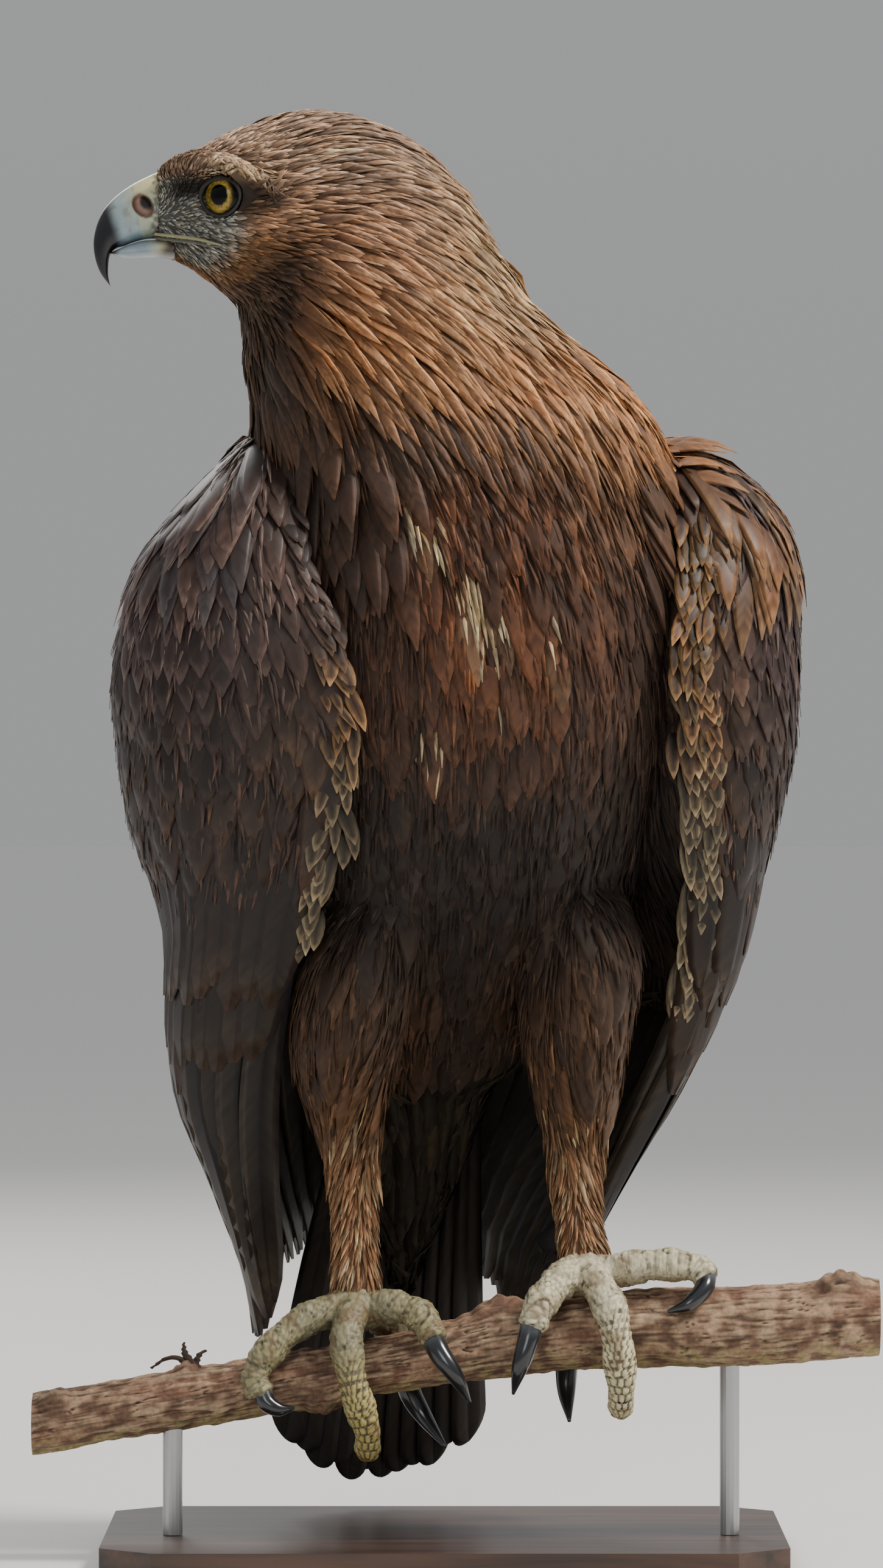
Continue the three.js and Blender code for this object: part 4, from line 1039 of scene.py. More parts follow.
on = regions(hide.centres)
GOLD = (SMALL, "plumage_gold")
BROWN = (SOFT, "plumage_brown")
LEG = (SMALL, "plumage_leg")
HEADS = {"crown": 0.42, "edging": 0.95}
hide.grow("face_feathers", on["face"], 1.45, lambda p: 5.0 + 6.0 * smooth(20, 45, from_bill(p)),
          lambda p: 0.55 + 0.5 * smooth(22, 42, from_bill(p)), LANCE, 3, 1.0, GOLD,
          stray=0.3, shade=0.38, **HEADS)
hide.grow("crown_feathers", on["crown"], 2.6, lambda p: 15 + 10 * smooth(-90, -25, p[:, 0]),
          lambda p: 1.45 + 0.6 * smooth(-90, -25, p[:, 0]), SPEAR, 3, 2.2, GOLD,
          stray=0.15, shade=0.33, twist=0.35, **HEADS)
hide.grow("throat_feathers", on["throat"], 2.6, lambda p: 16 + 14 * smooth(580, 530, p[:, 2]),
          1.5, SPEAR, 3, 2.0, GOLD, stray=0.18, shade=0.3, twist=0.4, **HEADS)
hide.grow("neck_hackles", on["neck"], 3.7, lambda p: 27 + 13 * smooth(600, 555, p[:, 2]),
          lambda p: 2.5 + 1.0 * smooth(600, 540, p[:, 2]), SPEAR, 5, 5.0, GOLD,
          stray=0.16, twist=0.45, shade=0.32, **HEADS)
hide.grow("nape_hackles", on["nape"], 4.6, lambda p: 22 + 14 * smooth(630, 590, p[:, 2]),
          1.8, SPEAR, 3, 4.6, GOLD, stray=0.16, twist=0.4, shade=0.25, **HEADS)
hide.grow("body_feathers", on["body"], 7.0, lambda p: 50 - 12 * smooth(400, 520, p[:, 2]),
          lambda p: 7.6 - 2.0 * smooth(430, 520, p[:, 2]), PLUME, 5, 3.0, BROWN,
          stray=0.16, edging=0.4, shade=0.34, crown=0.14, pale=0.12)
hide.grow("body_locks", on["body"], 3.35, 27, 1.25, NARROW, 3, 4.2, BROWN,
          stray=0.2, edging=0.6, shade=0.4, twist=0.4, pale=1.0)
hide.grow("shoulder_feathers", on["shoulder"], 6.0, 50, 6.0, PLUME, 5, 8.5, BROWN,
          stray=0.14, edging=0.5, shade=0.28, crown=0.16)
hide.grow("thigh_feathers", on["thigh"], 3.1, 26, 1.5, SPEAR, 3, 2.8, LEG,
          stray=0.18, shade=0.36, edging=0.6, twist=0.4, pale=0.6)
hide.grow("shank_feathers", on["shank"], 2.0, 13, 0.85, SPEAR, 3, 1.7, LEG,
          stray=0.2, shade=0.38, edging=0.75, twist=0.4, pale=0.8)
hide.grow("tail_coverts", on["tail"], 5.4, 42, 4.6, PLUME, 3, 2.8, BROWN,
          stray=0.18, edging=0.4, shade=0.3)


# Wings: coverts in tiers, scaly edge coverts, flight feathers, and the dark sheet under them

def wing_feathers(name, side, roots, tips, half, shape, columns, lift, colours, nodes=(),
                  shade=0.13, inside=None, place=None, **looks):
    """Feathers on a wing's outer face. roots and tips are places along and across it."""
    half = np.broadcast_to(half, len(roots))
    s = np.linspace(0, 1, len(shape))
    along, across = (roots[:, i, None] + (tips - roots)[:, i, None] * s for i in (0, 1))
    _, _, scale = wing_surface(side, along, across)
    wide = half[:, None] * np.array(shape)
    spot = across[:, :, None] + (wide / scale)[:, :, None] * COLUMNS[columns]
    grid, normal, _ = wing_surface(side, along[:, :, None], spot)
    if (side > 0) != (inside is not None):
        grid, normal = grid[:, :, ::-1], normal[:, :, ::-1]
    if inside is not None:
        grid, normal = grid - normal * inside, -normal
    shades = np.exp(dice.normal(0, shade, len(roots)))[:, None]
    looks = {
        "shape": shape, "sunk": -1.5, "roll": 0.05 + dice.normal(0, 0.03, len(roots)),
        "thick": 0.5, "lift": lift, **looks,
    }
    if place is None:
        place = stacked(0.02 + 0.94 * np.clip(roots[:, 1], 0, 1), (roots[:, 0] - 80) / 450)
    lay_vanes(name, grid, normal, half, np.abs(tips[:, 0] - roots[:, 0]),
              [c * shades for c in colours], place, looks, (STIFF, "plumage_wing", *nodes))


def wing_colours(n, base, tip, edge, spread):
    """Colours of n feathers, which drift in warmth and depth."""
    drift = np.clip(dice.normal(0, spread, (n, 1)), -0.35, 0.35) * np.array([1.0, 0.6, 0.3])
    return [ink(code) * (1 + drift) for code in (base, tip, edge)]


def toned(colours, codes, share):
    return [mix(colour, ink(code), share) for colour, code in zip(colours, codes)]


def strewn(count, along, across, length, stray):
    """Roots and tips of feathers strewn between limits along and across a wing."""
    roots = stacked(dice.uniform(*along, count), dice.uniform(*across, count))
    return roots, roots - stacked(dice.uniform(*length, count), dice.normal(0, stray, count))


def strips(count, start, span):
    """Places on the unwrap for feathers that each get an upright strip of it."""
    return stacked(start + span * (np.arange(count) + 0.5) / count, 0.5)


def lesser_coverts(name, side):
    """Rows of small feathers on the shoulder and arm, each row staggered against the last."""
    roots, tips, halves = [], [], []
    for row, (height, length, half) in enumerate(COVERT_ROWS):
        _, _, scale = wing_surface(side, height, 0.5)
        count = int(float(scale) / (half * 1.15))
        spots = np.arange(count) + (0.5 if row % 2 else 0.0) + dice.normal(0, 0.12, count)
        spots = spots / count
        high = height + dice.normal(0, 2.4, count)
        low = high - length * dice.uniform(0.85, 1.15, count)
        roots.append(stacked(high, spots))
        tips.append(stacked(low, spots + dice.normal(0, 0.008, count)))
        halves.append(half * dice.uniform(0.88, 1.12, count))
    roots, tips, halves = (np.concatenate(v) for v in (roots, tips, halves))
    height, spots = roots.T
    colours = wing_colours(len(roots), "1d1410", "2a1f19", "5a4638", 0.12)
    # painted sheen: a lavender grey over the upper coverts
    colours = toned(colours, ("2c201c", "473530", "80696a"), smooth(390, 470, height) * 0.7)
    front = smooth(0.1, 0.03, spots) * smooth(340, 400, height) * (0.2 if side < 0 else 0.6)
    colours = toned(colours, ("2f2017", "4d3424", "9c764c"), front)
    lift = 2.6 * dice.uniform(0.7, 1.3, len(roots))
    wing_feathers(f"coverts_{name}", side, roots, tips, halves, PLUME, 5, lift, colours,
                  [f"wing_{name}"], crown=0.1, edging=0.42, shade=0.24)


def wing_locks(name, side):
    """Loose barbs over the coverts, which streak and soften them."""
    count = 1300
    roots, tips = strewn(count, (300, 512), (0.02, 0.98), (16, 30), 0.012)
    colours = wing_colours(count, "231914", "3a2b23", "6a5345", 0.2)
    # painted sheen: a lavender grey over the upper locks
    colours = toned(colours, ("382822", "604a42", "a08a80"), smooth(390, 470, roots[:, 0]) * 0.8)
    half, lift = dice.uniform(0.8, 1.6, count), dice.uniform(2.8, 4.2, count)
    wing_feathers(f"wing_locks_{name}", side, roots, tips, half, NARROW, 3, lift, colours,
                  crown=0.3, edging=0.6, shade=0.35)


def greater_coverts(name, side):
    """Two tiers over the roots of the flight feathers: root, length, half width, lift."""
    count = 26
    for tier, (root, length, half, lift) in enumerate([[338, 78, 12.5, 4.6], [312, 84, 13.0, 4.0]]):
        spots = (np.arange(count) + 0.5) / count + (0.5 / count if tier else 0)
        roots = stacked(root + dice.normal(0, 2, count), spots)
        tips = stacked(root - length + dice.normal(0, 7, count), spots + 0.005)
        wing_feathers(f"greater_coverts_{name}_{tier + 1}", side, roots, tips, half, BROAD, 7, lift,
                      wing_colours(count, "1d1613", "241b16", "5a4736", 0.1),
                      crown=0.1, shaft=0.4, edging=0.5, stem=0.35, patch=(0.02, 0.06))


def scapulars(name, side):
    """Long feathers of the shoulder over the wing's top, with painted sunlight making the left one tan
    and painted lavender sheen on the right one.
    """
    count = 84
    roots, tips = strewn(count, (476, 513), (0.02, 0.66), (34, 68), 0.015)
    # painted sunlight in tan on the left wing's feathers, and painted lavender sheen on the right's
    tones = ("2b201b", "45352f", "85706a") if side < 0 else ("3b281c", "67462f", "bd9165")
    half, lift = dice.uniform(5.0, 7.5, count), dice.uniform(4.0, 6.0, count)
    wing_feathers(f"scapulars_{name}", side, roots, tips, half, PLUME, 5, lift,
                  wing_colours(count, *tones, 0.2), crown=0.12, edging=0.5, shade=0.22)


def edge_coverts(name, side):
    """Small coverts in lanes down the front edge, with pale fringes."""
    right = side < 0
    lanes = [-0.02, -0.004] if right else [-0.03, -0.014, 0.002, 0.018]
    height = np.repeat(np.arange(478, 292 if right else 262, -5.0), len(lanes))
    n = len(height)
    spots = np.tile(lanes, n // len(lanes)) + dice.normal(0, 0.006, n)
    height = height + dice.normal(0, 2.2, n)
    low = height - dice.uniform(15, 24, n)
    roots, tips = stacked(height, spots), stacked(low, spots + dice.normal(-0.004, 0.01, n))
    colours = wing_colours(n, "1f1510", "3a271b", "bd9060", 0.2)
    colours = toned(colours, ("1d1711", "31281d", "a89c7c"), smooth(400, 350, height) * 0.8)
    fringed = smooth(440, 405, height) if right else np.ones(n)
    plain = ("241b17", "3a2d27", "6c584e")
    colours = [mix(ink(code), colour, fringed) for code, colour in zip(plain, colours)]
    half, lift = dice.uniform(2.8, 4.6, n), dice.uniform(3.2, 5.0, n)
    wing_feathers(f"edge_coverts_{name}", side, roots, tips, half, PLUME, 5, lift, colours,
                  crown=0.14, edging=0.85, shade=0.35)


def flight_feathers(name, side):
    count = 19
    spots = np.linspace(0.02, 0.98, count)
    roots, tips = stacked(FLIGHT_ROOT, spots), stacked(table_at(FLIGHT_TIPS, spots)[:, 1], spots)
    quill = np.interp(np.linspace(0, 1, 18), *FLIGHT_QUILL)
    lift = 2.0 + 0.5 * np.sin(np.arange(count) * 2.4)
    wing_feathers(f"flights_{name}", side, roots, tips, 9.6, quill, 7, lift,
                  wing_colours(count, "171311", "1d1815", "6e5f4c", 0.08), [f"flight_{name}"],
                  crown=0.06, shaft=0.5, quick=0.2, edging=0.55, stem=0.4, roll=0.17,
                  patch=(0.04, 0.6), place=strips(count, 0.03, 0.94))


def flight_lining(name, side):
    """A thin dark sheet under the flight feathers, which closes the gaps between them."""
    share, across = np.meshgrid(np.linspace(0, 1, 32), np.linspace(0.02, 0.98, 34), indexing="ij")
    foot = table_at(FLIGHT_TIPS, across)[..., 1] + 16 + 5 * np.sin(across * 58)
    outer, normal, _ = wing_surface(side, foot + (LINING_TOP - foot) * share, across)
    ring = np.concatenate([outer - normal * 0.6, (outer - normal * 2.4)[:, ::-1]], 1)
    ring = ring if side < 0 else ring[:, ::-1]
    tube_piece(f"flight_lining_{name}", [ring], "231c18", DOWN, "plumage_wing")


def undersides(name, side):
    """The flight feathers' undersides, and soft coverts over their roots."""
    for label, root, length, count, half, lift in (
        ("under_flights", 275.0, None, 16, 9.5, 1.0), ("under_coverts", 330.0, 70.0, 22, 9.0, 2.6),
    ):
        spots = np.linspace(0.03, 0.97, count)
        foot = root - length if length else table_at(FLIGHT_TIPS, spots)[:, 1] + 7
        foot = foot + dice.normal(0, 3.5, count)
        wing_feathers(f"{label}_{name}", side, stacked(root, spots), stacked(foot, spots), half,
                      BLUNT, 5, lift, wing_colours(count, "2b2622", "2b2622", "57503f", 0.1),
                      crown=0.08, quick=0.3, edging=0.4, inside=3.0, patch=(0.02, 0.06), roll=0.12)


for name, side in SIDES.items():
    for feather_set in (lesser_coverts, wing_locks, greater_coverts, scapulars, edge_coverts,
                        flight_feathers, flight_lining, undersides):
        feather_set(name, side)


def tail_feathers():
    """The tail's feathers, with rounded tips and the middle pair on top."""
    count, body_rows = TAIL["feathers"], 12
    bend = np.radians([18, 36, 52, 66, 78, 87])
    s = np.concatenate([np.linspace(0, 0.955, body_rows), 0.955 + 0.045 * np.sin(bend)])
    blade = np.interp(s[:body_rows], [0, 0.3, 0.62, 0.955], [0.6, 0.9, 1, 1])
    quill = np.concatenate([blade, np.cos(bend)])
    order = np.arange(count)
    full = 1 - 0.014 * (1 + np.sin(order * 2.7))
    across = np.linspace(-1, 1, count)[:, None, None] + 0.19 * quill[None, :, None] * COLUMNS[7]
    along = np.broadcast_to((0.04 + 0.96 * s * full[:, None])[..., None], across.shape)
    grid = tail_surface(along, across)
    ahead = tail_surface(along + 0.01, across) - grid
    beside = tail_surface(along, across + 0.02) - grid
    normal = unit(np.cross(beside, ahead))
    normal = normal * np.sign(normal[..., 1:2])
    looks = {
        "shape": quill, "sunk": 0.0, "lift": -TAIL["layer"] * np.abs(order - (count - 1) / 2),
        "quick": 0.1, "roll": 0.0, "thick": 0.8, "crown": 0.05, "shaft": 0.5, "edging": 0.35,
        "stem": 0.4, "patch": (0.05, 0.6),
    }
    lay_vanes("tail_feathers", grid, normal, 8.5, 240.0,
              wing_colours(count, "2a221d", "1c1815", "3d342c", 0.06), strips(count, 0.04, 0.92),
              looks, (STIFF, "plumage_wing", "tail"))


tail_feathers()


# Eyes and lids

def face_axes(look):
    """Directions across and up for something that faces along look."""
    across = unit(np.cross(look, [0, 0, 1.0]))
    return across, np.cross(across, look)


def eyeball(name, side):
    look = unit(GAZE * [1, side, 1])
    middle = eye_middle(side) + [EYE_REAR, 0, 0] - lid_look(side) * EYE_BACK
    across, up = face_axes(look)
    rings, sides = 70, 72
    polar, turn = np.linspace(0.02, math.pi - 0.02, rings), turns(sides)
    off = np.sin(polar)[:, None]
    ball = (np.cos(polar)[:, None, None] * look
            + (off * np.cos(turn))[..., None] * across + (off * np.sin(turn))[..., None] * up)
    points = (middle + EYE["radius"] * ball).reshape(-1, 3)
    span = (EYE["radius"] * off * np.ones(sides)).ravel()
    front = np.repeat(np.cos(polar) > 0, sides)
    spoke = np.tile(turn, rings)
    ray = 0.5 + 0.5 * np.sin(spoke * 23 + 3 * np.sin(spoke * 7))
    flat = (points - middle) @ np.stack([across, up], 1) - [side * PUPIL_AIM[0], PUPIL_AIM[1]]
    pupil = np.hypot(flat[:, 0], flat[:, 1] * 0.92)
    colour = layered(
        "6f5c20", ("b79c48", 0.45 * ray + 0.55 * smooth(PUPIL, IRIS * 0.8, span)),
        ("3f3214", 0.75 * smooth(0.12, 0.4, noise_at(points, 0.9))),
        ("32250f", smooth(IRIS - 1.5, IRIS, span)),
        ("030303", smooth(PUPIL + 0.25, PUPIL - 0.1, pupil)),
        # painted shade: the ball beyond the iris and behind it is near-black, as the dark gap between
        # ball and lids
        ("0c0a09", np.maximum(smooth(IRIS - 0.2, IRIS + 0.3, span), ~front)))
    tube_piece(f"eyeball_{name}", [points.reshape(rings, sides, 3)], colour, EYES, "eye", f"eye_{name}")


def eyelids(name, side):
    look = lid_look(side)
    across, up = face_axes(look)
    reach = math.sqrt(EYE["radius"] ** 2 - LID["ring"] ** 2) + 0.2
    rings, sides = 96, 20
    t, a = turns(rings)[:, None], turns(sides)[None]
    # the upper lid hangs lower over the ball, and both draw to a point before and behind it
    squeeze = 1 - 0.17 * np.sin(t) ** 2 * (np.sin(t) > 0) + 0.05 * np.abs(np.cos(t)) ** 6
    tube = LID["tube"] * (1 + 0.12 * np.sin(5 * t)) * (1 + 0.35 * np.clip(np.sin(t), 0, 1))
    ring = LID["ring"] * squeeze + tube * np.cos(a)
    depth = reach + tube * np.sin(a) + 0.06 * np.sin(31 * t)
    points = (eye_middle(side) + (ring * np.cos(t))[..., None] * across
              + (ring * np.sin(t))[..., None] * up + depth[..., None] * look)
    i, j = np.meshgrid(np.arange(rings), np.arange(sides), indexing="ij")
    i2, j2 = (i + 1) % rings, (j + 1) % sides
    quads = np.stack([i * sides + j, i2 * sides + j, i2 * sides + j2, i * sides + j2], -1)
    quads = quads.reshape(-1, 4)[:, ::-side]
    colour = layered("181614", ("4d4a45", smooth(-0.2, 1, np.cos(a) * np.ones_like(t)).ravel()))
    dress(new_mesh(f"lids_{name}", points.reshape(-1, 3), [quads], colour), LIDS, "cere_skin")


for name, side in SIDES.items():
    eyeball(name, side)
    eyelids(name, side)


# Bill: egg-shaped slices, narrow at the top edge

def bill_grid(rows, count, sides, narrow):
    at = curve_through(rows, count)
    up = (1 + np.cos(turns(sides))) / 2
    x = at[:, 2:3] + (at[:, 0:1] - at[:, 2:3]) * up
    y = HEAD_Y + at[:, 4:5] * np.sin(turns(sides)) * (1 - narrow * up)
    z = at[:, 3:4] + (at[:, 1:2] - at[:, 3:4]) * up
    return stacked(x, y, z)


def nostril_gap(p, ahead=0, up=0):
    """How far points are from the nostril, which is a slanting oval."""
    x, z = p[..., 0] - NOSTRIL[0] - ahead, p[..., 2] - NOSTRIL[1] - up
    return np.hypot(0.8 * x + 0.6 * z, 0.72 * (0.6 * x - 0.8 * z))


def upper_bill():
    grid = bill_grid(BILL_ROWS, 120, 72, 0.42)
    for side in SIDES.values():
        near = nostril_gap(grid)
        beside = (grid[..., 1] - HEAD_Y) * side > 2
        rim, pit = np.exp(-((near - 4.6) / 1.1) ** 2) * beside, smooth(4.4, 2.4, near) * beside
        grid[..., 1] += side * (0.45 * rim - 3.4 * pit)
    # the cere ends in a low step where the horn begins
    seam = -157.5 - 0.2 * (grid[..., 2] - 616)
    cere = smooth(-0.5, 0.5, grid[..., 0] - seam)
    grid[..., 1] = HEAD_Y + (grid[..., 1] - HEAD_Y) * (1 + 0.035 * cere)
    p, cere = grid.reshape(-1, 3), cere.ravel()
    x, y, z = p.T
    waxy = layered("b9bd9f", ("d9cf9c", smooth(616, 630, z)), ("93a19c", smooth(612, 603, z) * 0.6))
    horn = layered(
        "a3b3b3", ("7d929f", smooth(612, 598, z)),
        ("c3c3a4", smooth(-166, -157, x) * smooth(606, 622, z)),
        ("7f7263", 0.4 * smooth(0.15, 0.5, noise_at(p, 0.28))),
        ("121316", smooth(3.5, -3.0, x + 167.0 + 0.32 * (z - 607))))
    hole, off_ridge = nostril_gap(p), np.abs(y - HEAD_Y) > 2
    colour = layered(
        mix(horn, waxy, cere), ("66483d", smooth(4.9, 4.1, hole) * off_ridge),
        ("a98573", smooth(3.9, 3.0, hole) * off_ridge),
        # painted shade: the dark opening of the nostril, deeper than its pit
        ("1c1210", smooth(3.1, 1.9, nostril_gap(p, 1.3, 1.5)) * off_ridge),
        ("53524b", 0.85 * smooth(-151.5, -147.5, x + 4.5 * noise_at(p, 0.55))))
    tube_piece("bill_upper", [grid], colour, HORN, "bill_horn", "upper_bill", "cere")


def lower_bill():
    grid = bill_grid(JAW_ROWS, 60, 56, -0.2)
    x, _, z = grid.reshape(-1, 3).T
    colour = layered(
        "8b9ca4", ("b9b893", smooth(-154, -144, x)),
        ("3a2c22", smooth(-149, -142, x - 0.8 * (z - 597))), ("33373b", smooth(-164, -168, x)))
    tube_piece("bill_lower", [grid], colour, HORN, "bill_horn", "lower_bill")


def lip(part, name, side, drop, thick, code):
    rows = [[x, HEAD_Y + side * (y + 0.6), z - drop, r * thick] for x, y, z, r in LIP_ROWS]
    rows.append([-118.5, HEAD_Y + side * 28.0, 597.2 - drop * 0.2, 0.4])
    tube_piece(f"{part}_{name}", [round_tube(rows, 20, 60)], code, CERE, "cere_skin")


upper_bill()
lower_bill()
for name, side in SIDES.items():
    lip("lip", name, side, 0.1, 0.44, "97946e")
    lip("gape", name, side, 1.9, 0.36, "57564a")


# Feet: toes run together into one skin, with scutes across their tops

def cell_gaps(u, v):
    """Distances from each place to the nearest two of a jittered, staggered grid of scales."""
    row = np.floor(u)
    first, second = np.full(len(u), 9.0), np.full(len(u), 9.0)
    for du in (-1, 0, 1):
        shift = 0.5 * ((row + du) % 2)
        column = np.floor(v - shift)
        for dv in (-1, 0, 1):
            seed = np.sin((row + du) * 127.1 + (column + dv) * 311.7) * 43758.5453
            jog = seed - np.floor(seed)
            at_u = row + du + 0.5 + 0.3 * (jog - 0.5)
            at_v = column + dv + 0.5 + shift + 0.3 * ((jog * 17.3) % 1 - 0.5)
            gap = np.hypot(u - at_u, v - at_v)
            second = np.minimum(second, np.maximum(first, gap))
            first = np.minimum(first, gap)
    return first, second


def from_pad(spec, rows):
    px, py, pz = spec["pad"][:3]
    return [[x + px, y + py, z + pz, r] for x, y, z, r in rows]


def foot_pad(spec):
    px, py, pz, a, b, c = spec["pad"]
    polar, turn = np.linspace(0.05, math.pi - 0.05, 24)[:, None], turns(32)
    return stacked(px + a * np.sin(polar) * np.cos(turn), py + b * np.sin(polar) * np.sin(turn),
                   pz - c * np.cos(polar))


def toe_line(spec, toe):
    """A toe's rings, and how far along the toe each one is."""
    rows = from_pad(spec, spec["toes"][toe])
    if toe == "middle":
        x, y, z, _ = rows[-1]
        rows += [[x, y + 5.0, z - 7.5, 6.2], [x, y + 10.0, z - 10.0, 5.6]]
    at = curve_through(rows, TOE_RINGS)
    steps = np.linalg.norm(np.diff(at[:, :3], axis=0), axis=1)
    reach = np.concatenate([[0], np.cumsum(steps)])
    at[:, 3] = (at[:, 3] - 0.45) * (1 + 0.075 * np.cos(reach / reach[-1] * 2 * np.pi * 3))
    at[-3:, 3] *= [0.97, 0.9, 0.74]
    return at, reach


def place_on_toes(points, lines):
    """For each point: how far along its toe it is, that toe's length, its offset, and whether
    the toe is a middle one."""
    best = np.full(len(points), 1e9)
    reach_at, long, beaded = np.zeros(len(points)), np.ones(len(points)), np.zeros(len(points))
    off = np.zeros((len(points), 3))
    for toe, (at, reach) in lines.items():
        gap = np.linalg.norm(points[:, None] - at[None, :, :3], axis=2)
        i = gap.argmin(1)
        near = gap[np.arange(len(points)), i] - at[i, 3]
        take = near < best
        best[take] = near[take]
        reach_at[take], long[take] = reach[i][take], reach[-1]
        off[take] = (points - at[i, :3])[take]
        beaded[take] = toe == "middle"
    return reach_at, long, off, beaded


def scaled_foot(name, spec):
    """The foot's skin, with lumps, creases and scales, and its colours."""
    lines = {toe: toe_line(spec, toe) for toe in spec["toes"]}
    tubes = [foot_pad(spec)] + [round_tube(at, 28, TOE_RINGS) for at, _ in lines.values()]
    foot = fused(f"foot_skin_{name}", tubes, voxel=0.58, softer=4)
    points = points_of(foot.data)
    normals = vectors_of(foot.data, "normal").astype(float)
    reach, long, off, beaded = place_on_toes(points, lines)
    # the tops of the toes face away from the perch: up, then out before or behind it
    share = np.clip(reach / long, 0, 1)
    ahead = np.where(points[:, 1] > spec["pad"][1] + 6, 1.0, -1.0)
    outward = unit(stacked(0, ahead * (0.15 + share), 1.25 - 1.1 * share))
    facing = (unit(off) * outward).sum(-1)
    turn = np.arctan2(off[:, 0], facing * np.linalg.norm(off, axis=1))
    # scales: small round ones all over, widening to plates across the end of each toe
    plates = smooth(0.1, 0.7, facing) * smooth(0.62, 0.8, share) * (1 - 0.6 * beaded)
    v = turn * 7.0
    size = 2.7 + 1.1 * beaded
    first, second = cell_gaps(reach / size, v / (size - 0.2 + 5.2 * plates))
    edge = smooth(0.03, 0.42, second - first)
    bold = smooth(0.3, 0.6, share) * smooth(-0.3, 0.4, facing) * (0.2 + 0.8 * beaded)
    lump = noise_at(points, 0.34) * (1 - 0.6 * beaded)
    waves = reach / 3.1 + 0.7 * np.sin(v * 0.5) + 0.5 * np.sin(points[:, 1] * 0.9)
    crease = smooth(0.9, 1.0, np.abs(np.sin(waves))) * (1 - beaded * smooth(0.4, 0.55, share))
    crease = crease * smooth(5, 9, reach) * smooth(-0.25, 0.1, lump)
    shift = 0.9 * lump + (0.22 + 0.62 * bold) * (edge - 0.6) - 0.42 * crease
    shift = shift + 0.12 * np.sin(points[:, 0] * 0.8) * np.sin(points[:, 2] * 0.9)
    points = points + normals * shift[:, None]
    move_points(foot.data, points)
    foot.data.update()
    # each foot's colours hold painted light: the left foot lit, the right one shaded
    low, high, bead = FOOT_COLOURS[name]
    paint_points(foot.data, layered(
        low, (high, smooth(-0.6, 0.8, facing)), (bead, bold * edge * 0.8),
        # painted shade in the grooves between scales and in the creases
        ("3f3826", np.clip((1 - edge) * (0.35 + 0.6 * bold) + 0.6 * crease, 0, 0.92)),
        ("6e5436", 0.55 * smooth(0.1, 0.55, noise_at(points, 0.11)))))
    return foot


def claw(name, toe, rows, rings=44, sides=28):
    s = np.repeat(np.linspace(0, 1, rings), sides)
    colour = layered("4c5054", ("1a1c20", smooth(0, 0.3, s)), ("2b2d30", smooth(0.8, 1, s)))
    tube_piece(f"claw_horn_{name}_{toe}", [round_tube(rows, sides, rings)], colour, CLAW,
               "claw_horn", f"claw_{name}_{toe}")


for name, spec in FEET.items():
    toes = [f"toe_{name}_{toe}" for toe in spec["toes"]]
    dress(scaled_foot(name, spec), SCALES, "scaled_skin", f"foot_{name}", *toes)
    for toe, rows in spec["claws"].items():
        claw(name, toe, from_pad(spec, rows))


# The perch: bark with ridges, cracks and knots, and cut ends

def cut_end(rim):
    """Rings from the rim of a cut end to its middle, and their colours."""
    rings, paint = [], []
    for k, share in enumerate(np.linspace(0.97, 0.02, 26)):
        ring = rim.mean(0) + (rim - rim.mean(0)) * share
        ring[:, 0] = rim[0, 0] + 0.25 * np.sin(k * 1.9)
        rings.append(ring)
        shade = 0.5 + 0.5 * math.sin(k * 1.9)
        paint.append(np.tile(layered("b3966f", ("8a6a48", shade)), (len(rim), 1)))
    return np.array(rings), np.array(paint)


def branch(count=510, sides=168):
    x, y, z, radius = table_at(PERCH_ROWS, np.linspace(PERCH_ROWS[0][0], PERCH_ROWS[-1][0], count)).T
    x, turn = np.meshgrid(x, turns(sides), indexing="ij")

    def bark_noise(along, around):
        places = stacked(x * along, np.cos(turn) * around, np.sin(turn) * around)
        return noise_at(places.reshape(-1, 3)).reshape(x.shape)

    grain, fine, rough = bark_noise(0.035, 5.5), bark_noise(0.09, 13.0), bark_noise(0.16, 2.6)
    crack = smooth(0.06, 0.0, np.abs(grain + 0.15 * fine)) * smooth(-0.1, 0.25, rough)
    flake = smooth(0.02, 0.1, bark_noise(0.06, 3.1))
    r = radius[:, None] - 0.5 + 0.75 * grain + 0.55 * fine + 0.8 * rough - 1.1 * crack + 0.5 * flake
    knots = np.zeros_like(r)
    for knot_x, angle, length, width, height in KNOTS:
        bend = (turn - np.radians(angle) + np.pi) % (2 * np.pi) - np.pi
        gap = np.hypot((x - knot_x) / length, bend * radius[:, None] / width)
        knot = np.exp(-gap ** 2 * 1.3)
        knots = np.maximum(knots, knot)
        r = r + height * knot * (1 + 0.15 * np.sin(gap * 12))
    points = stacked(x, y[:, None] - r * np.sin(turn), z[:, None] + r * np.cos(turn))
    # raised bark is painted lighter and cracks and hollows darker: partly the bark's own colour, partly
    # painted light and shade
    colour = layered(
        "6b5140", ("a88b70", smooth(-0.4, 0.45, rough + 0.5 * fine)),
        ("7d5340", 0.4 * smooth(0.05, 0.4, bark_noise(0.02, 1.2))),
        ("b9a184", 0.5 * flake * smooth(0.0, 0.4, grain)),
        ("2b211a", np.clip(0.9 * crack + 0.5 * smooth(0.1, 0.45, -fine), 0, 1)),
        ("77783d", 0.5 * smooth(0.2, 0.9, -np.cos(turn)) * smooth(-0.2, 0.4, rough)),
        ("5c4636", 0.5 * knots))
    (left, left_paint), (right, right_paint) = cut_end(points[0]), cut_end(points[-1])
    flat, faces = joined([np.concatenate([left[::-1], points, right])])
    paint = np.concatenate([left_paint[::-1], colour, right_paint]).reshape(-1, 3)
    dress(new_mesh("branch", flat, [f[:, ::-1] for f in faces], paint), BARK, "bark", "perch")


def twig(rows, rings):
    tube = round_tube(rows, 16, rings)
    return tube + 0.35 * np.sin(tube[..., 2:3] * 3.1) * np.array([1.0, 0.6, 0])


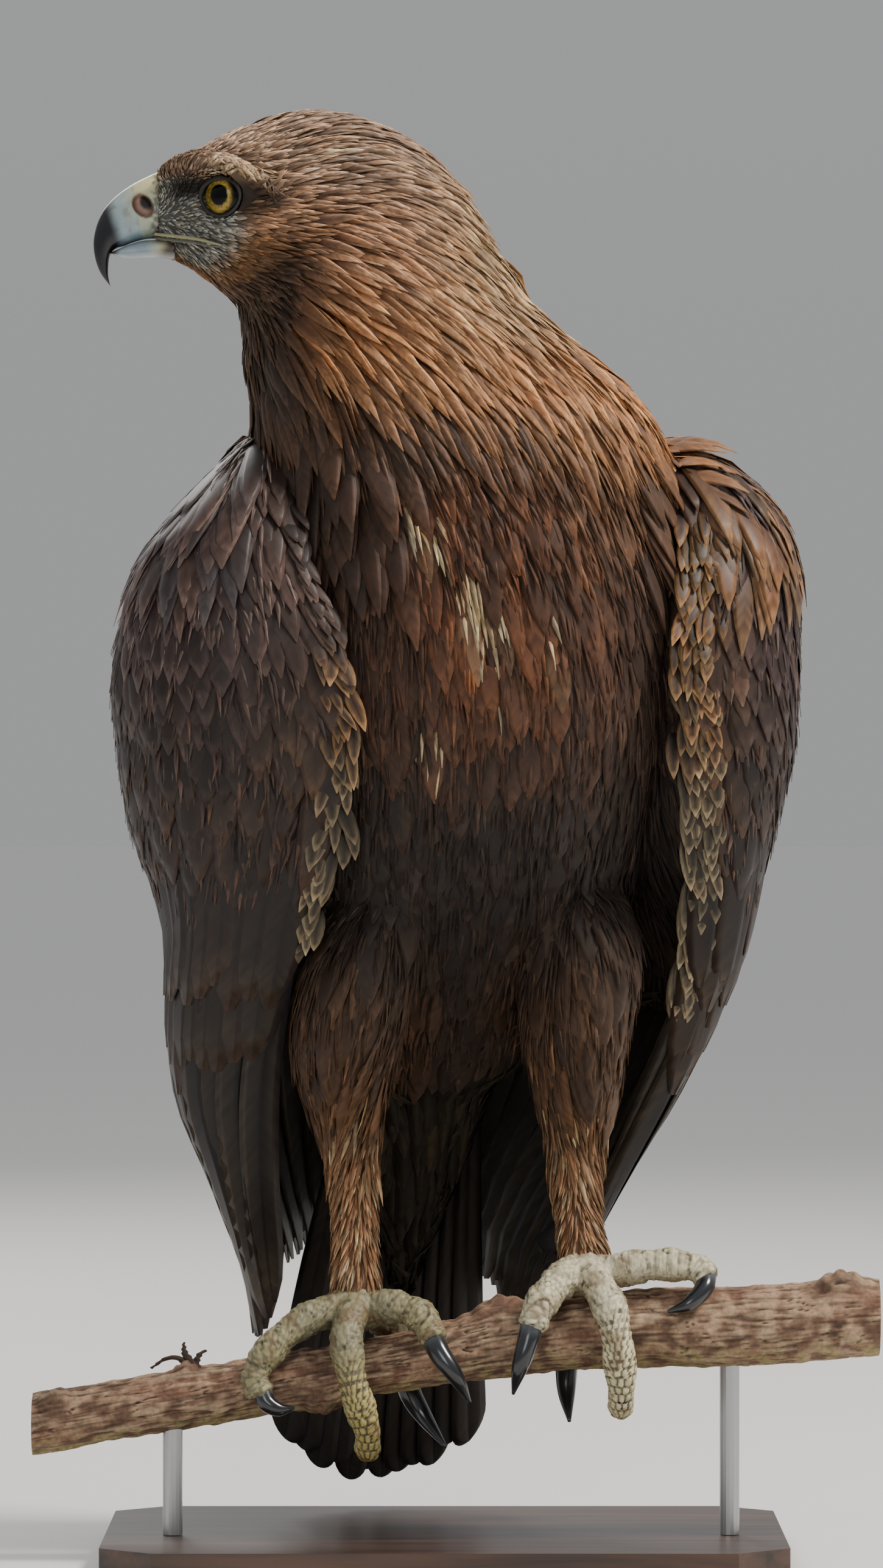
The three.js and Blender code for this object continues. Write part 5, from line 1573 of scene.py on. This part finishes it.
branch()
tube_piece("branch_twig", [
    twig([[-131, -2, 87, 3.0], [-134, -1, 91, 2.2], [-136.5, 0, 95, 1.5], [-137, 0.5, 100, 0.5]], 24),
    twig([[-132, -1, 88, 1.8], [-130, -1, 94, 1.2], [-126.5, -1, 96.5, 0.4]], 20),
    twig([[-133, -1, 88, 1.8], [-139, -1, 92.5, 1.2], [-145, 0, 92.5, 0.9], [-152, 0, 88, 0.5]], 24),
], "3b2c23", BARK, "bark")


# The stand keeps its solids, with its edges eased and its own finishes
wood = grained_material(
    "stand_wood", 0.38, (1.2, 14, 14), {"Scale": 9.0, "Detail": 8.0, "Distortion": 0.6},
    ((0.3, ink("231812")), (0.72, ink("54392a"))), 0.12, 0.0004, coat_weight=0.25, coat_roughness=0.2)
steel = grained_material(
    "stand_metal", 0.32, (500, 500, 12), {"Scale": 1.0, "Detail": 3.0},
    ((0.0, (0.36, 0.36, 0.37)), (1.0, (0.56, 0.56, 0.57))), 0.08, 0.0002, metallic=1.0)
for label, finish in (("stand_base", wood), ("stand_rod_1", steel), ("stand_rod_2", steel)):
    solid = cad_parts[label]
    solid.data.materials.clear()
    solid.data.materials.append(finish)
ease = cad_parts["stand_base"].modifiers.new("Eased edges", "BEVEL")
ease.width = 0.0016
ease.segments = 3


# Floor, lights and camera

def floor_piece(half=40):
    mesh = bpy.data.meshes.new("floor")
    corners = [(-half, -half, 0), (half, -half, 0), (half, half, 0), (-half, half, 0)]
    mesh.from_pydata(corners, [], [(0, 1, 2, 3)])
    plain, _, shader = material("floor", 0.9)
    shader.inputs["Base Color"].default_value = (0.8, 0.79, 0.77, 1)
    mesh.materials.append(plain)
    placed("floor", mesh)


def studio():
    world = bpy.data.worlds.new("studio")
    world.use_nodes = True
    tree = world.node_tree
    sky = node(tree, "ShaderNodeTexCoord", {})["Generated"]
    height = node(tree, "ShaderNodeSeparateXYZ", {0: sky})["Z"]
    shades = ramp_of(tree, height, (0.06, (0.715, 0.72, 0.725)), (0.5, (0.92, 0.94, 0.96)))
    backdrop = tree.nodes["Background"]
    backdrop.inputs["Strength"].default_value = 0.5
    tree.links.new(shades, backdrop.inputs["Color"])
    bpy.context.scene.world = world


def area_light(name, place, target, size, watts, colour):
    lamp = bpy.data.lights.new(name, "AREA")
    lamp.size = size
    lamp.energy = watts
    lamp.color = colour
    aim = Vector(target) - Vector(place)
    placed(name, lamp, place, aim.to_track_quat("-Z", "Y").to_euler())


def photo_camera():
    camera = bpy.data.cameras.new("camera")
    camera.sensor_fit = "VERTICAL"
    camera.sensor_height = 36
    camera.lens = 176.1
    camera.clip_end = 200
    level = (math.pi / 2, 0, 0)
    bpy.context.scene.camera = placed("camera", camera, (-0.0014, -3.528, 0.3547), level)


floor_piece()
studio()
area_light("key", (1.5, -0.5, 2.1), (0, 0, 0.45), 0.6, 72, (1.0, 0.95, 0.88))
area_light("fill", (-0.5, -3.2, 1.5), (0, 0, 0.4), 1.2, 17, (0.92, 0.96, 1.0))
area_light("back", (-0.9, 2.2, 1.9), (0, 0, 0.45), 1.2, 34, (1.0, 0.98, 0.94))
photo_camera()
